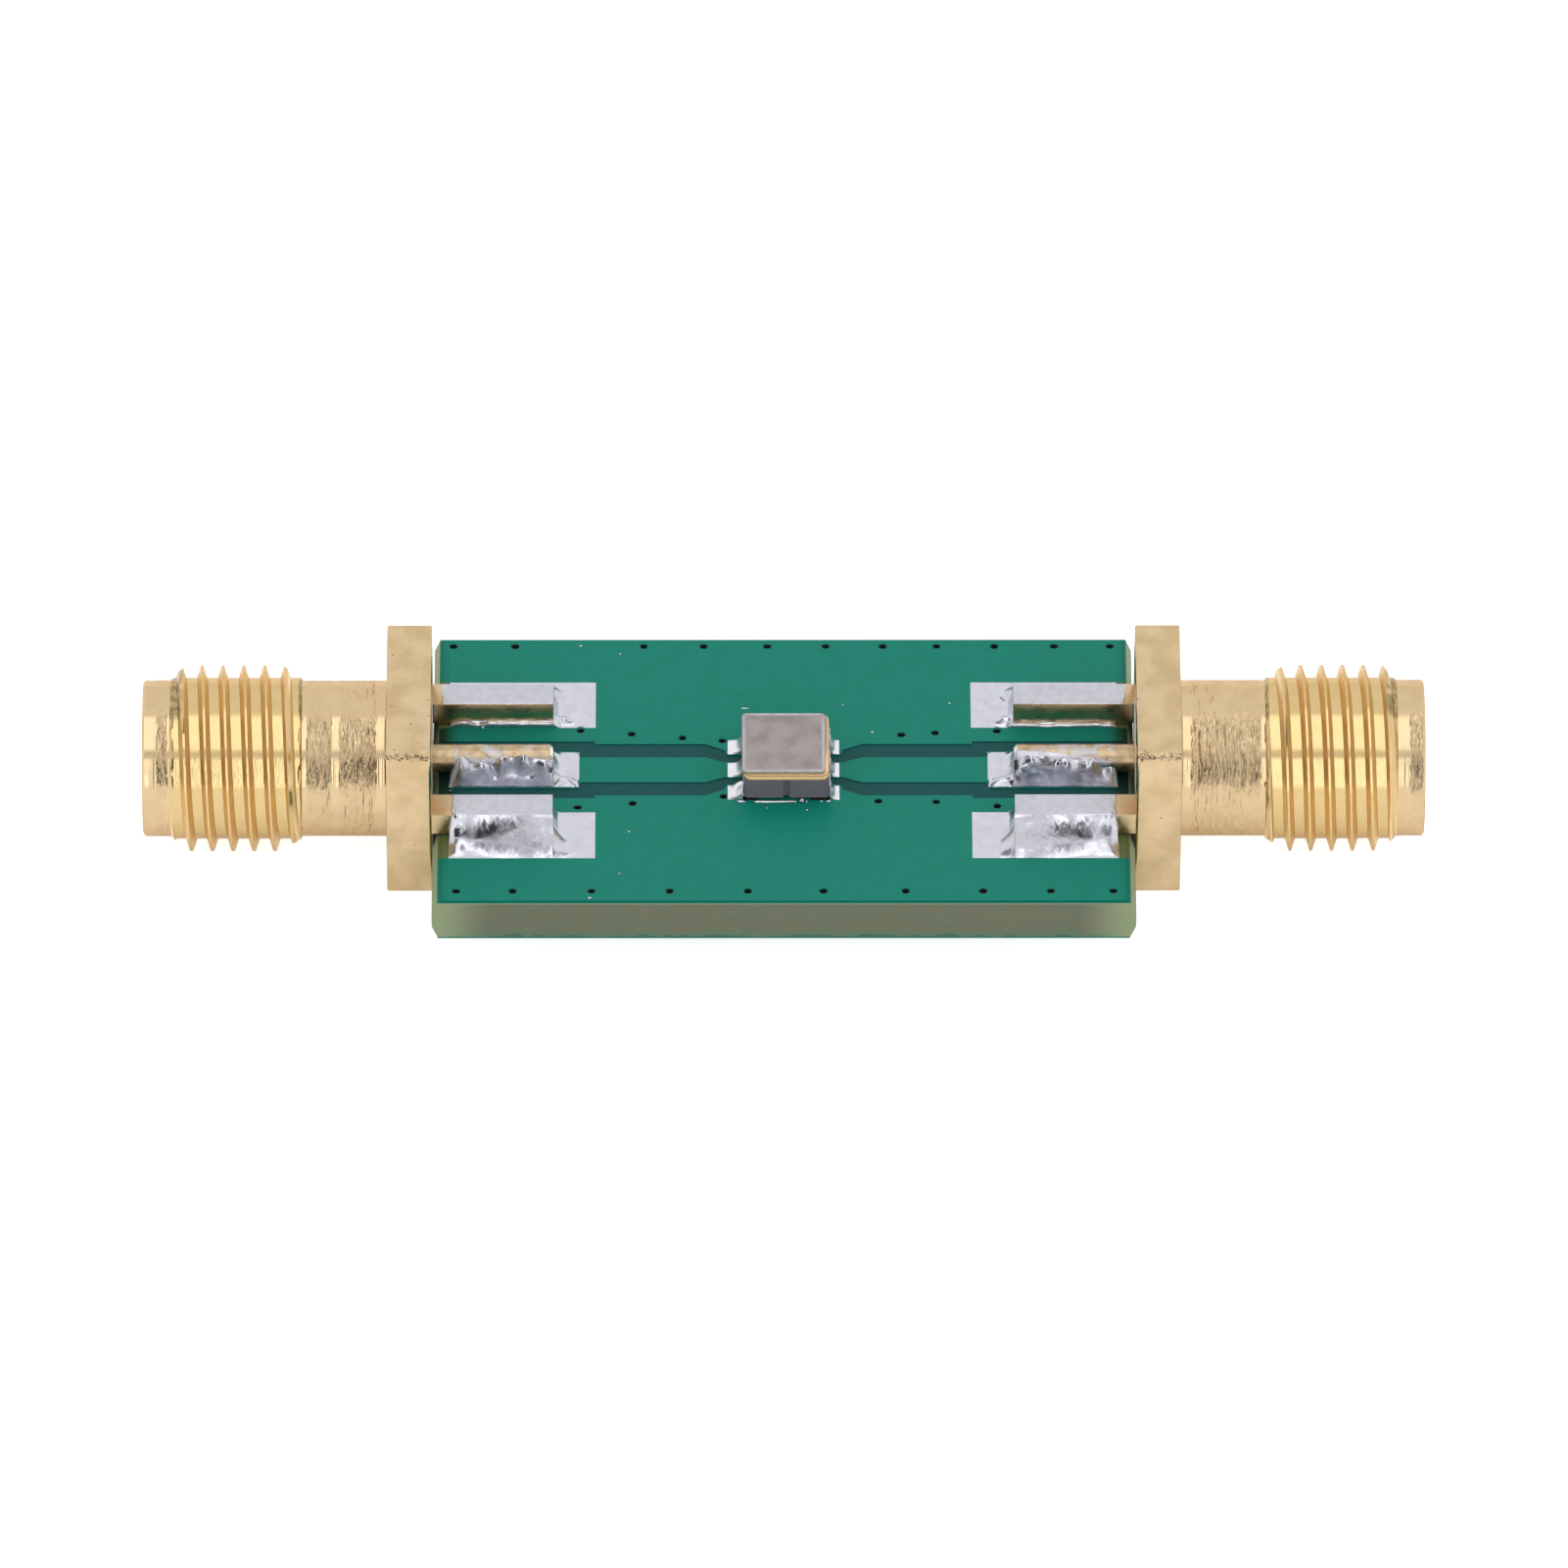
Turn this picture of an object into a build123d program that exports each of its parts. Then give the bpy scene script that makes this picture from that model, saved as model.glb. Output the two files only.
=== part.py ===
from build123d import *

import os

# A radio frequency band-pass filter: a small ceramic filter package in the middle of
# a circuit board, with a threaded coaxial jack soldered over each short end.
# X runs from jack to jack, Y across the board and Z up. The origin is under the middle
# of the board, on the surface that the two square flanges stand on. Sizes in millimetres.

# Coaxial jack, outside
flange_side = 6.5
flange_thick = 1.52
flange_edge_radius = 0.25
leg_width = 1.0
leg_height = 0.92
leg_length = 4.1
leg_inset = 0.08
neck_diameter = 5.28
neck_length = 2.85
neck_root = 0.2
thread_diameter = 6.32
thread_length = 4.465
thread_chamfer = 0.4
nose_diameter = 5.3
nose_length = 0.935
nose_chamfer = 0.12

# Coaxial jack, inside
nose_wall = 0.34
socket_depth = 1.93
socket_chamfer = 0.1
insulator_diameter = 4.1
contact_diameter = 1.27
contact_wall = 0.165
contact_bore_depth = 2.9
contact_bore_chamfer = 0.1
contact_slots = 4
contact_slot_width = 0.1
contact_slot_depth = 1.9
contact_neck_length = 1.0
tail_diameter = 0.95
tail_chamfer = 0.12

# Circuit board
board_length = 23.75
board_width = 12.7
laminate_thick = 1.6
score_depth = 0.5
score_bevel = 0.19
copper_thick = 0.035
mask_thick = 0.025
mask_wall = 0.03
pour_end_inset = 0.35
pour_side_inset = 0.1

# Signal line and the bare channel beside it, narrower by the filter and wider at the pads
trace_width = 1.14
trace_gap = 0.7
signal_pad_width = 1.72
signal_pad_radius = 0.2
signal_pad_margin = 0.88
signal_pad_gap = 0.54
neck_trace_width = 0.64
neck_trace_gap = 0.65
neck_start = 2.65
neck_end = 1.98
ground_bridge = 0.9

# Solder lands under the legs
land_inner_margin = 0.14
land_outer_margin = 1.08
land_end_inset = 0.545
land_end_margin = 1.43

# Plated holes. The end holes of each edge row keep a distance from the copper's ends, and the
# row's holes stand at shares of the run between its end holes. Each inner hole is given
# by its place along the board and its distance from the channel, front ones below zero.
via_drill = 0.34
via_plating = 0.04
via_sides = 6
mask_hole_margin = 0.03
back_row_inset = 0.36
back_row_left_inset = 0.3
back_row_right_inset = 0.39
back_row_shares = (0, 0.094, 0.194, 0.29, 0.381, 0.478, 0.567, 0.654, 0.736, 0.824, 0.915, 1)
front_row_inset = 0.53
front_row_left_inset = 0.48
front_row_right_inset = 0.43
front_row_shares = (0, 0.086, 0.206, 0.325, 0.444, 0.559, 0.684, 0.802, 0.905, 1)
inner_row_places = ((-6.88, 0.62), (-5.15, 0.46), (-3.42, 0.27), (-2.07, 0.13), (4.0, 0.42), (5.15, 0.51),
                    (7.25, 0.6), (-6.97, -0.54), (-5.11, -0.35), (-2.03, -0.01), (3.2, -0.24),
                    (5.16, -0.28), (7.23, -0.48))

# Filter package
package_length = 2.9
package_width = 2.95
package_shift = 0.1
package_stand_off = 0.15
base_height = 0.79
base_corner = 0.1
base_notch_radius = 0.12
base_floor = 0.35
cavity_side = 1.9
cavity_corner = 0.2
ring_height = 0.34
ring_wall = 0.4
ring_inset = 0.03
ring_corner = 0.25
lid_thick = 0.1
lid_length = 2.82
lid_width = 2.85
lid_corner = 0.16
lid_shift_x = -0.1
lid_shift_y = -0.06
lid_rim_width = 0.13
lid_rim_height = 0.025
chip_length = 1.5
chip_width = 1.1
chip_thick = 0.3

# Filter terminals and their lands, three on each side
terminal_pitch = 1.1
terminal_width = 0.6
terminal_length = 0.55
terminal_rise = 0.5
terminal_thick = 0.03
filter_land_width = 0.7
filter_land_outer = 1.9
filter_land_inner = 0.9
filter_channel_gap = 0.39

# Seating clearances and solder
board_end_gap = 0.02
leg_gap_under = 0.05
leg_gap_over = 0.09
tail_gap = 0.11
solder_film = 0.04
solder_land_inset = 0.02
slope_hollow = 0.2
joint_top_drop = 0.08
joint_inner_rise = 0.27
joint_end_run = 0.55
joint_start_run = 0.3
joint_start_share = 0.6
tail_joint_rise = 0.7
tail_joint_run = 0.75
terminal_joint_rise = 0.42

# Places worked out from the sizes
axis_z = flange_side / 2
land_top = axis_z - tail_diameter / 2 - tail_gap
laminate_top = land_top - copper_thick
laminate_bottom = laminate_top - laminate_thick
land_bottom = laminate_bottom - copper_thick
mask_top = land_top + mask_thick
mask_bottom = land_bottom - mask_thick
flange_inner = board_length / 2 + board_end_gap
flange_outer = flange_inner + flange_thick
neck_end_x = flange_outer + neck_length
thread_end_x = neck_end_x + thread_length
tip_x = thread_end_x + nose_length
socket_floor_x = tip_x - socket_depth
socket_diameter = nose_diameter - 2 * nose_wall
contact_bore = contact_diameter - 2 * contact_wall
leg_tip_x = flange_inner - leg_length
leg_outer_y = flange_side / 2 - leg_inset
leg_inner_y = leg_outer_y - leg_width
upper_leg_bottom = land_top + leg_gap_over
lower_leg_top = land_bottom - leg_gap_under
lower_leg_height = lower_leg_top - leg_inset
land_inner_y = leg_inner_y - land_inner_margin
land_outer_y = leg_outer_y + land_outer_margin
land_outer_x = board_length / 2 - land_end_inset
land_inner_x = leg_tip_x - land_end_margin
signal_pad_end = leg_tip_x - signal_pad_margin
pour_end_x = board_length / 2 - pour_end_inset
channel_half_width = trace_width / 2 + trace_gap
via_bore = via_drill - 2 * via_plating
base_bottom = land_top + package_stand_off
base_top = base_bottom + base_height
ring_top = base_top + ring_height
terminal_bottom = base_bottom - terminal_thick
signs = (-1, 1)
side_names = {-1: "left", 1: "right"}
row_names = {-1: "front", 1: "back"}


def jack_plane(x):
    """The plane across the jack's axis at x, with its own x along Y and its own y up."""
    return Plane(origin=(x, 0, axis_z), x_dir=(0, 1, 0), z_dir=(1, 0, 0))


def turned_profile(points):
    """A solid turned about the jack's axis, from corners given as (x, radius)."""
    with BuildPart() as turned:
        with BuildSketch(Plane(origin=(0, 0, axis_z), x_dir=(1, 0, 0), z_dir=(0, -1, 0))):
            with BuildLine():
                Polyline(*points, close=True)
            make_face()
        revolve(axis=Axis((0, 0, axis_z), (1, 0, 0)))
    return turned.part


def in_quarter(piece, sign_x, sign_y=1):
    """The piece made at +X and +Y, mirrored to the side that the signs name."""
    with BuildPart() as copy:
        add(piece.part)
        if sign_x < 0:
            mirror(about=Plane.YZ, mode=Mode.REPLACE)
        if sign_y < 0:
            mirror(about=Plane.XZ, mode=Mode.REPLACE)
    return copy


def save(piece, name):
    """Labels a finished piece and writes its file."""
    piece.part.label = name
    export_step(piece.part, f"parts/{name}.step")


def jack_body():
    """Flange, four legs and threaded barrel, machined as one piece of gold-plated brass."""
    with BuildPart() as body:
        with BuildSketch(jack_plane(flange_inner)):
            Rectangle(flange_side, flange_side)
        extrude(amount=flange_thick)
        fillet(body.edges().filter_by(Axis.X), flange_edge_radius)
        # Legs above and below the board, just inside the sides of the flange
        leg_y = leg_outer_y - leg_width / 2
        upper_middle = upper_leg_bottom + leg_height / 2 - axis_z
        lower_middle = lower_leg_top - lower_leg_height / 2 - axis_z
        with BuildSketch(jack_plane(flange_inner)):
            with Locations((-leg_y, upper_middle), (leg_y, upper_middle)):
                Rectangle(leg_width, leg_height)
            with Locations((-leg_y, lower_middle), (leg_y, lower_middle)):
                Rectangle(leg_width, lower_leg_height)
        extrude(amount=-leg_length)
        # Barrel: neck, thread land with a chamfer at each end, and plain nose
        neck = neck_diameter / 2
        crest = thread_diameter / 2
        nose = nose_diameter / 2
        add(turned_profile([
            (flange_outer, 0),
            (flange_outer, neck + neck_root),
            (flange_outer + neck_root, neck),
            (neck_end_x, neck),
            (neck_end_x + thread_chamfer, crest),
            (thread_end_x - thread_chamfer, crest),
            (thread_end_x, nose),
            (tip_x - nose_chamfer, nose),
            (tip_x, nose - nose_chamfer),
            (tip_x, 0),
        ]))
        # Through bore for the insulator, opened into the socket at the mouth
        socket = socket_diameter / 2
        add(turned_profile([
            (flange_inner, 0),
            (flange_inner, insulator_diameter / 2),
            (socket_floor_x, insulator_diameter / 2),
            (socket_floor_x, socket),
            (tip_x - socket_chamfer, socket),
            (tip_x, socket + socket_chamfer),
            (tip_x, 0),
        ]), mode=Mode.SUBTRACT)
    return body


def jack_insulator():
    """White dielectric, flush with the socket's floor and with the flange's inner face."""
    with BuildPart() as insulator:
        add(turned_profile([
            (flange_inner, tail_diameter / 2),
            (flange_inner, insulator_diameter / 2),
            (socket_floor_x, insulator_diameter / 2),
            (socket_floor_x, contact_diameter / 2),
            (flange_inner + contact_neck_length, contact_diameter / 2),
            (flange_inner + contact_neck_length, tail_diameter / 2),
        ]))
    return insulator


def jack_contact():
    """Centre contact: slotted spring socket at the mating end, round tail over the board."""
    tail = tail_diameter / 2
    outer = contact_diameter / 2
    bore = contact_bore / 2
    with BuildPart() as contact:
        add(turned_profile([
            (leg_tip_x, 0),
            (leg_tip_x, tail - tail_chamfer),
            (leg_tip_x + tail_chamfer, tail),
            (flange_inner + contact_neck_length, tail),
            (flange_inner + contact_neck_length, outer),
            (socket_floor_x, outer),
            (socket_floor_x, bore + contact_bore_chamfer),
            (socket_floor_x - contact_bore_chamfer, bore),
            (socket_floor_x - contact_bore_depth, bore),
            (socket_floor_x - contact_bore_depth - bore * 0.6, 0),
        ]))
        # Slots that part the socket into spring fingers
        with BuildSketch(jack_plane(socket_floor_x)):
            with PolarLocations(outer / 2 + bore / 2, contact_slots, start_angle=45):
                Rectangle(outer, contact_slot_width)
        extrude(amount=-contact_slot_depth, mode=Mode.SUBTRACT)
    return contact


def edge_row(y, left_inset, right_inset, shares):
    """Centres of the plated holes along one long edge of the board."""
    left_end = left_inset - pour_end_x
    run = pour_end_x - right_inset - left_end
    return [(left_end + share * run, y) for share in shares]


def via_places():
    """Centres of the plated holes: a row along each long edge, and two beside the line."""
    back = edge_row(board_width / 2 - back_row_inset, back_row_left_inset, back_row_right_inset,
                    back_row_shares)
    front = edge_row(front_row_inset - board_width / 2, front_row_left_inset, front_row_right_inset,
                     front_row_shares)
    inner = [(x, away + (channel_half_width if away > 0 else -channel_half_width))
             for x, away in inner_row_places]
    return back + front + inner


def channel_outline(sign):
    """Corners of the copper-free channel on one side, in which the signal line runs."""
    launch = signal_pad_width / 2 + signal_pad_gap
    narrow = neck_trace_width / 2 + neck_trace_gap
    filter_half = filter_land_width / 2 + filter_channel_gap
    upper = [
        (ground_bridge / 2, filter_half),
        (filter_land_outer, filter_half),
        (neck_end, narrow),
        (neck_start, channel_half_width),
        (land_inner_x, channel_half_width),
        (land_inner_x, launch),
        (board_length / 2, launch),
    ]
    lower = [(x, -y) for x, y in reversed(upper)]
    return [(sign * x, y) for x, y in upper + lower]


def trace_outline(sign):
    """Corners of the signal line, from the filter's land through the taper to the pad."""
    upper = [
        (filter_land_inner, filter_land_width / 2),
        (filter_land_outer, filter_land_width / 2),
        (neck_end, neck_trace_width / 2),
        (neck_start, trace_width / 2),
        (signal_pad_end + signal_pad_width / 2, trace_width / 2),
    ]
    lower = [(x, -y) for x, y in reversed(upper)]
    return [(sign * x, y) for x, y in upper + lower]


def pour_sketch():
    """Ground copper on the top face: the whole board less the two channels."""
    with BuildSketch() as pour:
        Rectangle(2 * pour_end_x, board_width - 2 * pour_side_inset)
        for sign in signs:
            with BuildLine():
                Polyline(*channel_outline(sign), close=True)
            make_face(mode=Mode.SUBTRACT)
    return pour.sketch


def pad_sketch(sign, margin=0):
    """Signal pad on one side, as far out as the lands, with round corners past the contact's tip."""
    pad_length = land_outer_x - signal_pad_end
    with BuildSketch() as pad:
        with Locations((sign * (signal_pad_end + pad_length / 2), 0)):
            Rectangle(pad_length - 2 * margin, signal_pad_width - 2 * margin)
        fillet(pad.vertices().group_by(Axis.X)[0 if sign > 0 else -1], signal_pad_radius)
    return pad.sketch


def trace_sketch(sign):
    """Signal line and its pad on one side."""
    with BuildSketch() as trace:
        with BuildLine():
            Polyline(*trace_outline(sign), close=True)
        make_face()
        add(pad_sketch(sign))
    return trace.sketch


def land_sketch():
    """Openings in a mask over the four lands that the legs are soldered to."""
    centre_x = (land_inner_x + land_outer_x) / 2
    centre_y = (land_inner_y + land_outer_y) / 2
    with BuildSketch() as lands:
        with GridLocations(2 * centre_x, 2 * centre_y, 2, 2):
            Rectangle(land_outer_x - land_inner_x, land_outer_y - land_inner_y)
    return lands.sketch


def filter_land_sketch():
    """Openings over the six lands of the filter package."""
    centre_x = (filter_land_inner + filter_land_outer) / 2
    with BuildSketch() as lands:
        with GridLocations(2 * centre_x, terminal_pitch, 2, 3):
            Rectangle(filter_land_outer - filter_land_inner, filter_land_width)
    return lands.sketch


def via_sketch(diameter):
    """One small polygon at each plated hole, because so many holes need few faces."""
    with BuildSketch() as holes:
        with Locations(*via_places()):
            RegularPolygon(diameter / 2, via_sides)
    return holes.sketch


def plate(sketch, bottom, top):
    """A flat sketch made into a plate between two heights."""
    with BuildPart() as flat:
        with BuildSketch(Plane.XY.offset(bottom)):
            add(sketch)
        extrude(amount=top - bottom)
    return flat


def circuit_board():
    """Glass-fibre laminate, with its short ends snapped along a score cut in each face."""
    middle = (laminate_top + laminate_bottom) / 2
    half_thick = laminate_thick / 2
    half_length = board_length / 2
    quarter = [(half_length - score_bevel, half_thick), (half_length, half_thick - score_depth)]
    right_end = quarter + [(x, -y) for x, y in reversed(quarter)]
    left_end = [(-x, y) for x, y in reversed(right_end)]
    with BuildPart() as board:
        with BuildSketch(Plane(origin=(0, 0, middle), x_dir=(1, 0, 0), z_dir=(0, -1, 0))):
            with BuildLine():
                Polyline(*right_end, *left_end, close=True)
            make_face()
        extrude(amount=board_width / 2, both=True)
        add(plate(via_sketch(via_drill), laminate_bottom, laminate_top).part, mode=Mode.SUBTRACT)
    return board


def ground_copper():
    """Top pour and bottom plane, joined through the board by the plated holes."""
    with BuildPart() as copper:
        add(plate(pour_sketch(), laminate_top, land_top).part)
        with BuildSketch(Plane.XY.offset(land_bottom)):
            Rectangle(2 * pour_end_x, board_width - 2 * pour_side_inset)
        extrude(amount=copper_thick)
        add(plate(via_sketch(via_drill), laminate_bottom, laminate_top).part)
        add(plate(via_sketch(via_bore), land_bottom, land_top).part, mode=Mode.SUBTRACT)
    return copper


def mask_outline():
    """The flat of a board face, between the scored ends."""
    with BuildSketch() as outline:
        Rectangle(board_length - 2 * score_bevel, board_width)
    return outline.sketch


def top_solder_mask():
    """Green lacquer: it covers the copper and dips onto the bare laminate beside it."""
    with BuildPart() as mask:
        add(plate(mask_outline(), laminate_top, mask_top).part)
        add(plate(pour_sketch(), laminate_top, land_top).part, mode=Mode.SUBTRACT)
        for sign in signs:
            add(plate(trace_sketch(sign), laminate_top, land_top).part, mode=Mode.SUBTRACT)
        # The lacquer follows the step at the edge of the copper
        with BuildSketch() as dips:
            Rectangle(board_length, board_width + 2 * mask_wall)
            add(offset(pour_sketch(), mask_wall, kind=Kind.INTERSECTION, mode=Mode.PRIVATE),
                mode=Mode.SUBTRACT)
            for sign in signs:
                add(offset(trace_sketch(sign), mask_wall, kind=Kind.INTERSECTION, mode=Mode.PRIVATE),
                    mode=Mode.SUBTRACT)
        add(plate(dips.sketch, laminate_top + mask_thick, mask_top).part, mode=Mode.SUBTRACT)
        for openings in (land_sketch(), filter_land_sketch(), pad_sketch(-1), pad_sketch(1)):
            add(plate(openings, laminate_top, mask_top).part, mode=Mode.SUBTRACT)
        holes = via_sketch(via_bore + 2 * mask_hole_margin)
        add(plate(holes, land_top, mask_top).part, mode=Mode.SUBTRACT)
    return mask


def bottom_solder_mask():
    """Green lacquer under the board, closed over the plated holes."""
    with BuildPart() as mask:
        add(plate(mask_outline(), mask_bottom, laminate_bottom).part)
        with BuildSketch(Plane.XY.offset(land_bottom)):
            Rectangle(2 * pour_end_x, board_width - 2 * pour_side_inset)
        extrude(amount=copper_thick, mode=Mode.SUBTRACT)
        add(plate(land_sketch(), mask_bottom, laminate_bottom).part, mode=Mode.SUBTRACT)
    return mask


def land_plane_across(x, face_z, up):
    """The plane across X at x, with its own x along Y and its own y away from the board face."""
    return Plane(origin=(x, 0, face_z), x_dir=(0, 1, 0), z_dir=(up, 0, 0))


def land_plane_along(y, face_z, up):
    """The plane along X at y, with its own x along X and its own y away from the board face."""
    return Plane(origin=(0, y, face_z), x_dir=(1, 0, 0), z_dir=(0, -up, 0))


def hollow_slope(start, end, corner):
    """A solder slope from start to end, its middle drawn in towards the corner below it."""
    keep = 1 - slope_hollow
    middle_x = keep * (start[0] + end[0]) / 2 + slope_hollow * corner[0]
    middle_y = keep * (start[1] + end[1]) / 2 + slope_hollow * corner[1]
    return ThreePointArc(start, (middle_x, middle_y), end)


def leg_joint(face_z, up, gap):
    """Solder at one leg: a film over the land, and a fillet from the leg's far edge down."""
    foot_y = land_outer_y - solder_land_inset
    toe_y = land_inner_y + solder_land_inset
    outer_x = land_outer_x - solder_land_inset
    inner_x = land_inner_x + solder_land_inset
    height = leg_height if up > 0 else lower_leg_height
    rise = gap + height - joint_top_drop
    with BuildPart() as joint:
        # Across the leg: a tall slope outside, a low one inside
        with BuildSketch(land_plane_across(inner_x, face_z, up)):
            with BuildLine():
                Polyline((leg_inner_y, joint_inner_rise), (toe_y, solder_film), (toe_y, 0),
                         (foot_y, 0), (foot_y, solder_film))
                hollow_slope((foot_y, solder_film), (leg_outer_y, rise), (leg_outer_y, 0))
                Line((leg_outer_y, rise), (leg_inner_y, joint_inner_rise))
            make_face()
        extrude(amount=up * (outer_x - inner_x))
        # Along the leg: full height beside it, falling to a film past its tip
        fall_x = leg_tip_x - joint_end_run
        with BuildSketch(land_plane_along(toe_y, face_z, up)):
            with BuildLine():
                Polyline((fall_x, solder_film), (inner_x, solder_film), (inner_x, 0), (outer_x, 0),
                         (outer_x, rise * joint_start_share), (outer_x - joint_start_run, rise),
                         (leg_tip_x, rise))
                hollow_slope((leg_tip_x, rise), (fall_x, solder_film), (leg_tip_x, 0))
            make_face()
        extrude(amount=-up * (foot_y - toe_y), mode=Mode.INTERSECT)
        with BuildSketch(land_plane_across(leg_tip_x, face_z, up)):
            with Locations(((leg_inner_y + leg_outer_y) / 2, gap + height / 2)):
                Rectangle(leg_width, height)
        extrude(amount=up * leg_length, mode=Mode.SUBTRACT)
    return joint


def tail_joint():
    """Solder at the centre contact's tail: a slope down each side and past the tip."""
    half_width = signal_pad_width / 2 - solder_land_inset
    shoulder = tail_diameter / 2 - solder_land_inset
    inner_x = signal_pad_end + solder_land_inset
    outer_x = land_outer_x - solder_land_inset
    fall_x = leg_tip_x - tail_joint_run
    with BuildPart() as joint:
        with BuildSketch(land_plane_across(inner_x, land_top, 1)):
            with BuildLine():
                Polyline((-half_width, solder_film), (-half_width, 0), (half_width, 0),
                         (half_width, solder_film))
                hollow_slope((half_width, solder_film), (shoulder, tail_joint_rise), (shoulder, 0))
                Line((shoulder, tail_joint_rise), (-shoulder, tail_joint_rise))
                hollow_slope((-shoulder, tail_joint_rise), (-half_width, solder_film), (-shoulder, 0))
            make_face()
        extrude(amount=outer_x - inner_x)
        with BuildSketch(land_plane_along(-half_width, land_top, 1)):
            with BuildLine():
                Polyline((fall_x, solder_film), (inner_x, solder_film), (inner_x, 0), (outer_x, 0),
                         (outer_x, tail_joint_rise * joint_start_share),
                         (outer_x - joint_start_run, tail_joint_rise), (leg_tip_x, tail_joint_rise))
                hollow_slope((leg_tip_x, tail_joint_rise), (fall_x, solder_film), (leg_tip_x, 0))
            make_face()
        extrude(amount=-2 * half_width, mode=Mode.INTERSECT)
        pad = plate(pad_sketch(1, solder_land_inset), land_top, land_top + tail_joint_rise)
        add(pad.part, mode=Mode.INTERSECT)
        add(tail_rod(), mode=Mode.SUBTRACT)
    return joint


def tail_rod():
    """The contact's tail as a plain rod, to cut its seat in the solder."""
    tail = tail_diameter / 2
    return turned_profile([
        (leg_tip_x, 0),
        (leg_tip_x, tail - tail_chamfer),
        (leg_tip_x + tail_chamfer, tail),
        (flange_inner, tail),
        (flange_inner, 0),
    ])


def terminal_places():
    """Places along Y of the three terminals on each side of the package."""
    return (-terminal_pitch, 0, terminal_pitch)


def side_of_package(sign):
    """How far the package's side is from the middle of the board, on the side named."""
    return package_length / 2 + sign * package_shift


def filter_terminals():
    """Six metal terminals, each under the package's edge and up its side."""
    with BuildPart() as terminals:
        for sign in signs:
            side = side_of_package(sign)
            for y in terminal_places():
                with BuildSketch(Plane.XZ.offset(-y - terminal_width / 2)):
                    with BuildLine():
                        Polyline(
                            (sign * (side - terminal_length), terminal_bottom),
                            (sign * (side + terminal_thick), terminal_bottom),
                            (sign * (side + terminal_thick), base_bottom + terminal_rise),
                            (sign * side, base_bottom + terminal_rise),
                            (sign * side, base_bottom),
                            (sign * (side - terminal_length), base_bottom),
                            close=True,
                        )
                    make_face()
                extrude(amount=terminal_width)
    return terminals


def filter_joints():
    """Solder at the six terminals, each hollow from the terminal's side to its land's edge."""
    width = filter_land_width - 2 * solder_land_inset
    foot = filter_land_outer - solder_land_inset
    heel = filter_land_inner + solder_land_inset
    with BuildPart() as joints:
        for sign in signs:
            face = side_of_package(sign) + terminal_thick
            top = base_bottom + terminal_joint_rise
            for y in terminal_places():
                with BuildSketch(Plane.XZ.offset(-y - width / 2)):
                    with BuildLine():
                        Polyline(
                            (sign * face, top),
                            (sign * face, terminal_bottom),
                            (sign * heel, terminal_bottom),
                            (sign * heel, land_top),
                            (sign * foot, land_top),
                            (sign * foot, land_top + solder_film),
                        )
                        hollow_slope((sign * foot, land_top + solder_film), (sign * face, top),
                                     (sign * face, land_top))
                    make_face()
                extrude(amount=width)
    return joints


def filter_base():
    """Ceramic tub: side notches at the front and back, and a well for the crystal."""
    with BuildPart() as base:
        with BuildSketch(Plane.XY.offset(base_bottom)):
            with Locations((package_shift, 0)):
                Rectangle(package_length, package_width)
            with Locations(*[(package_shift, sign * package_width / 2) for sign in signs]):
                Circle(base_notch_radius, mode=Mode.SUBTRACT)
        extrude(amount=base_height)
        chamfer(base.edges().filter_by(Axis.Z).group_by(Axis.X)[0], base_corner)
        chamfer(base.edges().filter_by(Axis.Z).group_by(Axis.X)[-1], base_corner)
        with BuildSketch(Plane.XY.offset(base_bottom + base_floor)):
            with Locations((package_shift, 0)):
                RectangleRounded(cavity_side, cavity_side, cavity_corner)
        extrude(amount=base_height - base_floor, mode=Mode.SUBTRACT)
    return base


def seal_ring():
    """Gold-plated frame brazed to the tub, which the lid is welded to."""
    outer_length = package_length - 2 * ring_inset
    outer_width = package_width - 2 * ring_inset
    with BuildPart() as ring:
        with BuildSketch(Plane.XY.offset(base_top)):
            with Locations((package_shift, 0)):
                RectangleRounded(outer_length, outer_width, ring_corner)
                RectangleRounded(outer_length - 2 * ring_wall, outer_width - 2 * ring_wall,
                                 ring_corner / 2, mode=Mode.SUBTRACT)
        extrude(amount=ring_height)
    return ring


def filter_lid():
    """Thin metal lid with a low raised rim where it was welded."""
    place = (package_shift + lid_shift_x, lid_shift_y)
    with BuildPart() as lid:
        with BuildSketch(Plane.XY.offset(ring_top)):
            with Locations(place):
                RectangleRounded(lid_length, lid_width, lid_corner)
        extrude(amount=lid_thick)
        with BuildSketch(Plane.XY.offset(ring_top + lid_thick)):
            with Locations(place):
                RectangleRounded(lid_length, lid_width, lid_corner)
                Rectangle(lid_length - 2 * lid_rim_width, lid_width - 2 * lid_rim_width, mode=Mode.SUBTRACT)
        extrude(amount=lid_rim_height)
    return lid


def filter_crystal():
    """The crystal chip that does the filtering, bonded to the floor of the tub."""
    with BuildPart() as crystal:
        with BuildSketch(Plane.XY.offset(base_bottom + base_floor)):
            with Locations((package_shift, 0)):
                Rectangle(chip_length, chip_width)
        extrude(amount=chip_thick)
    return crystal


os.makedirs("parts", exist_ok=True)

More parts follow.
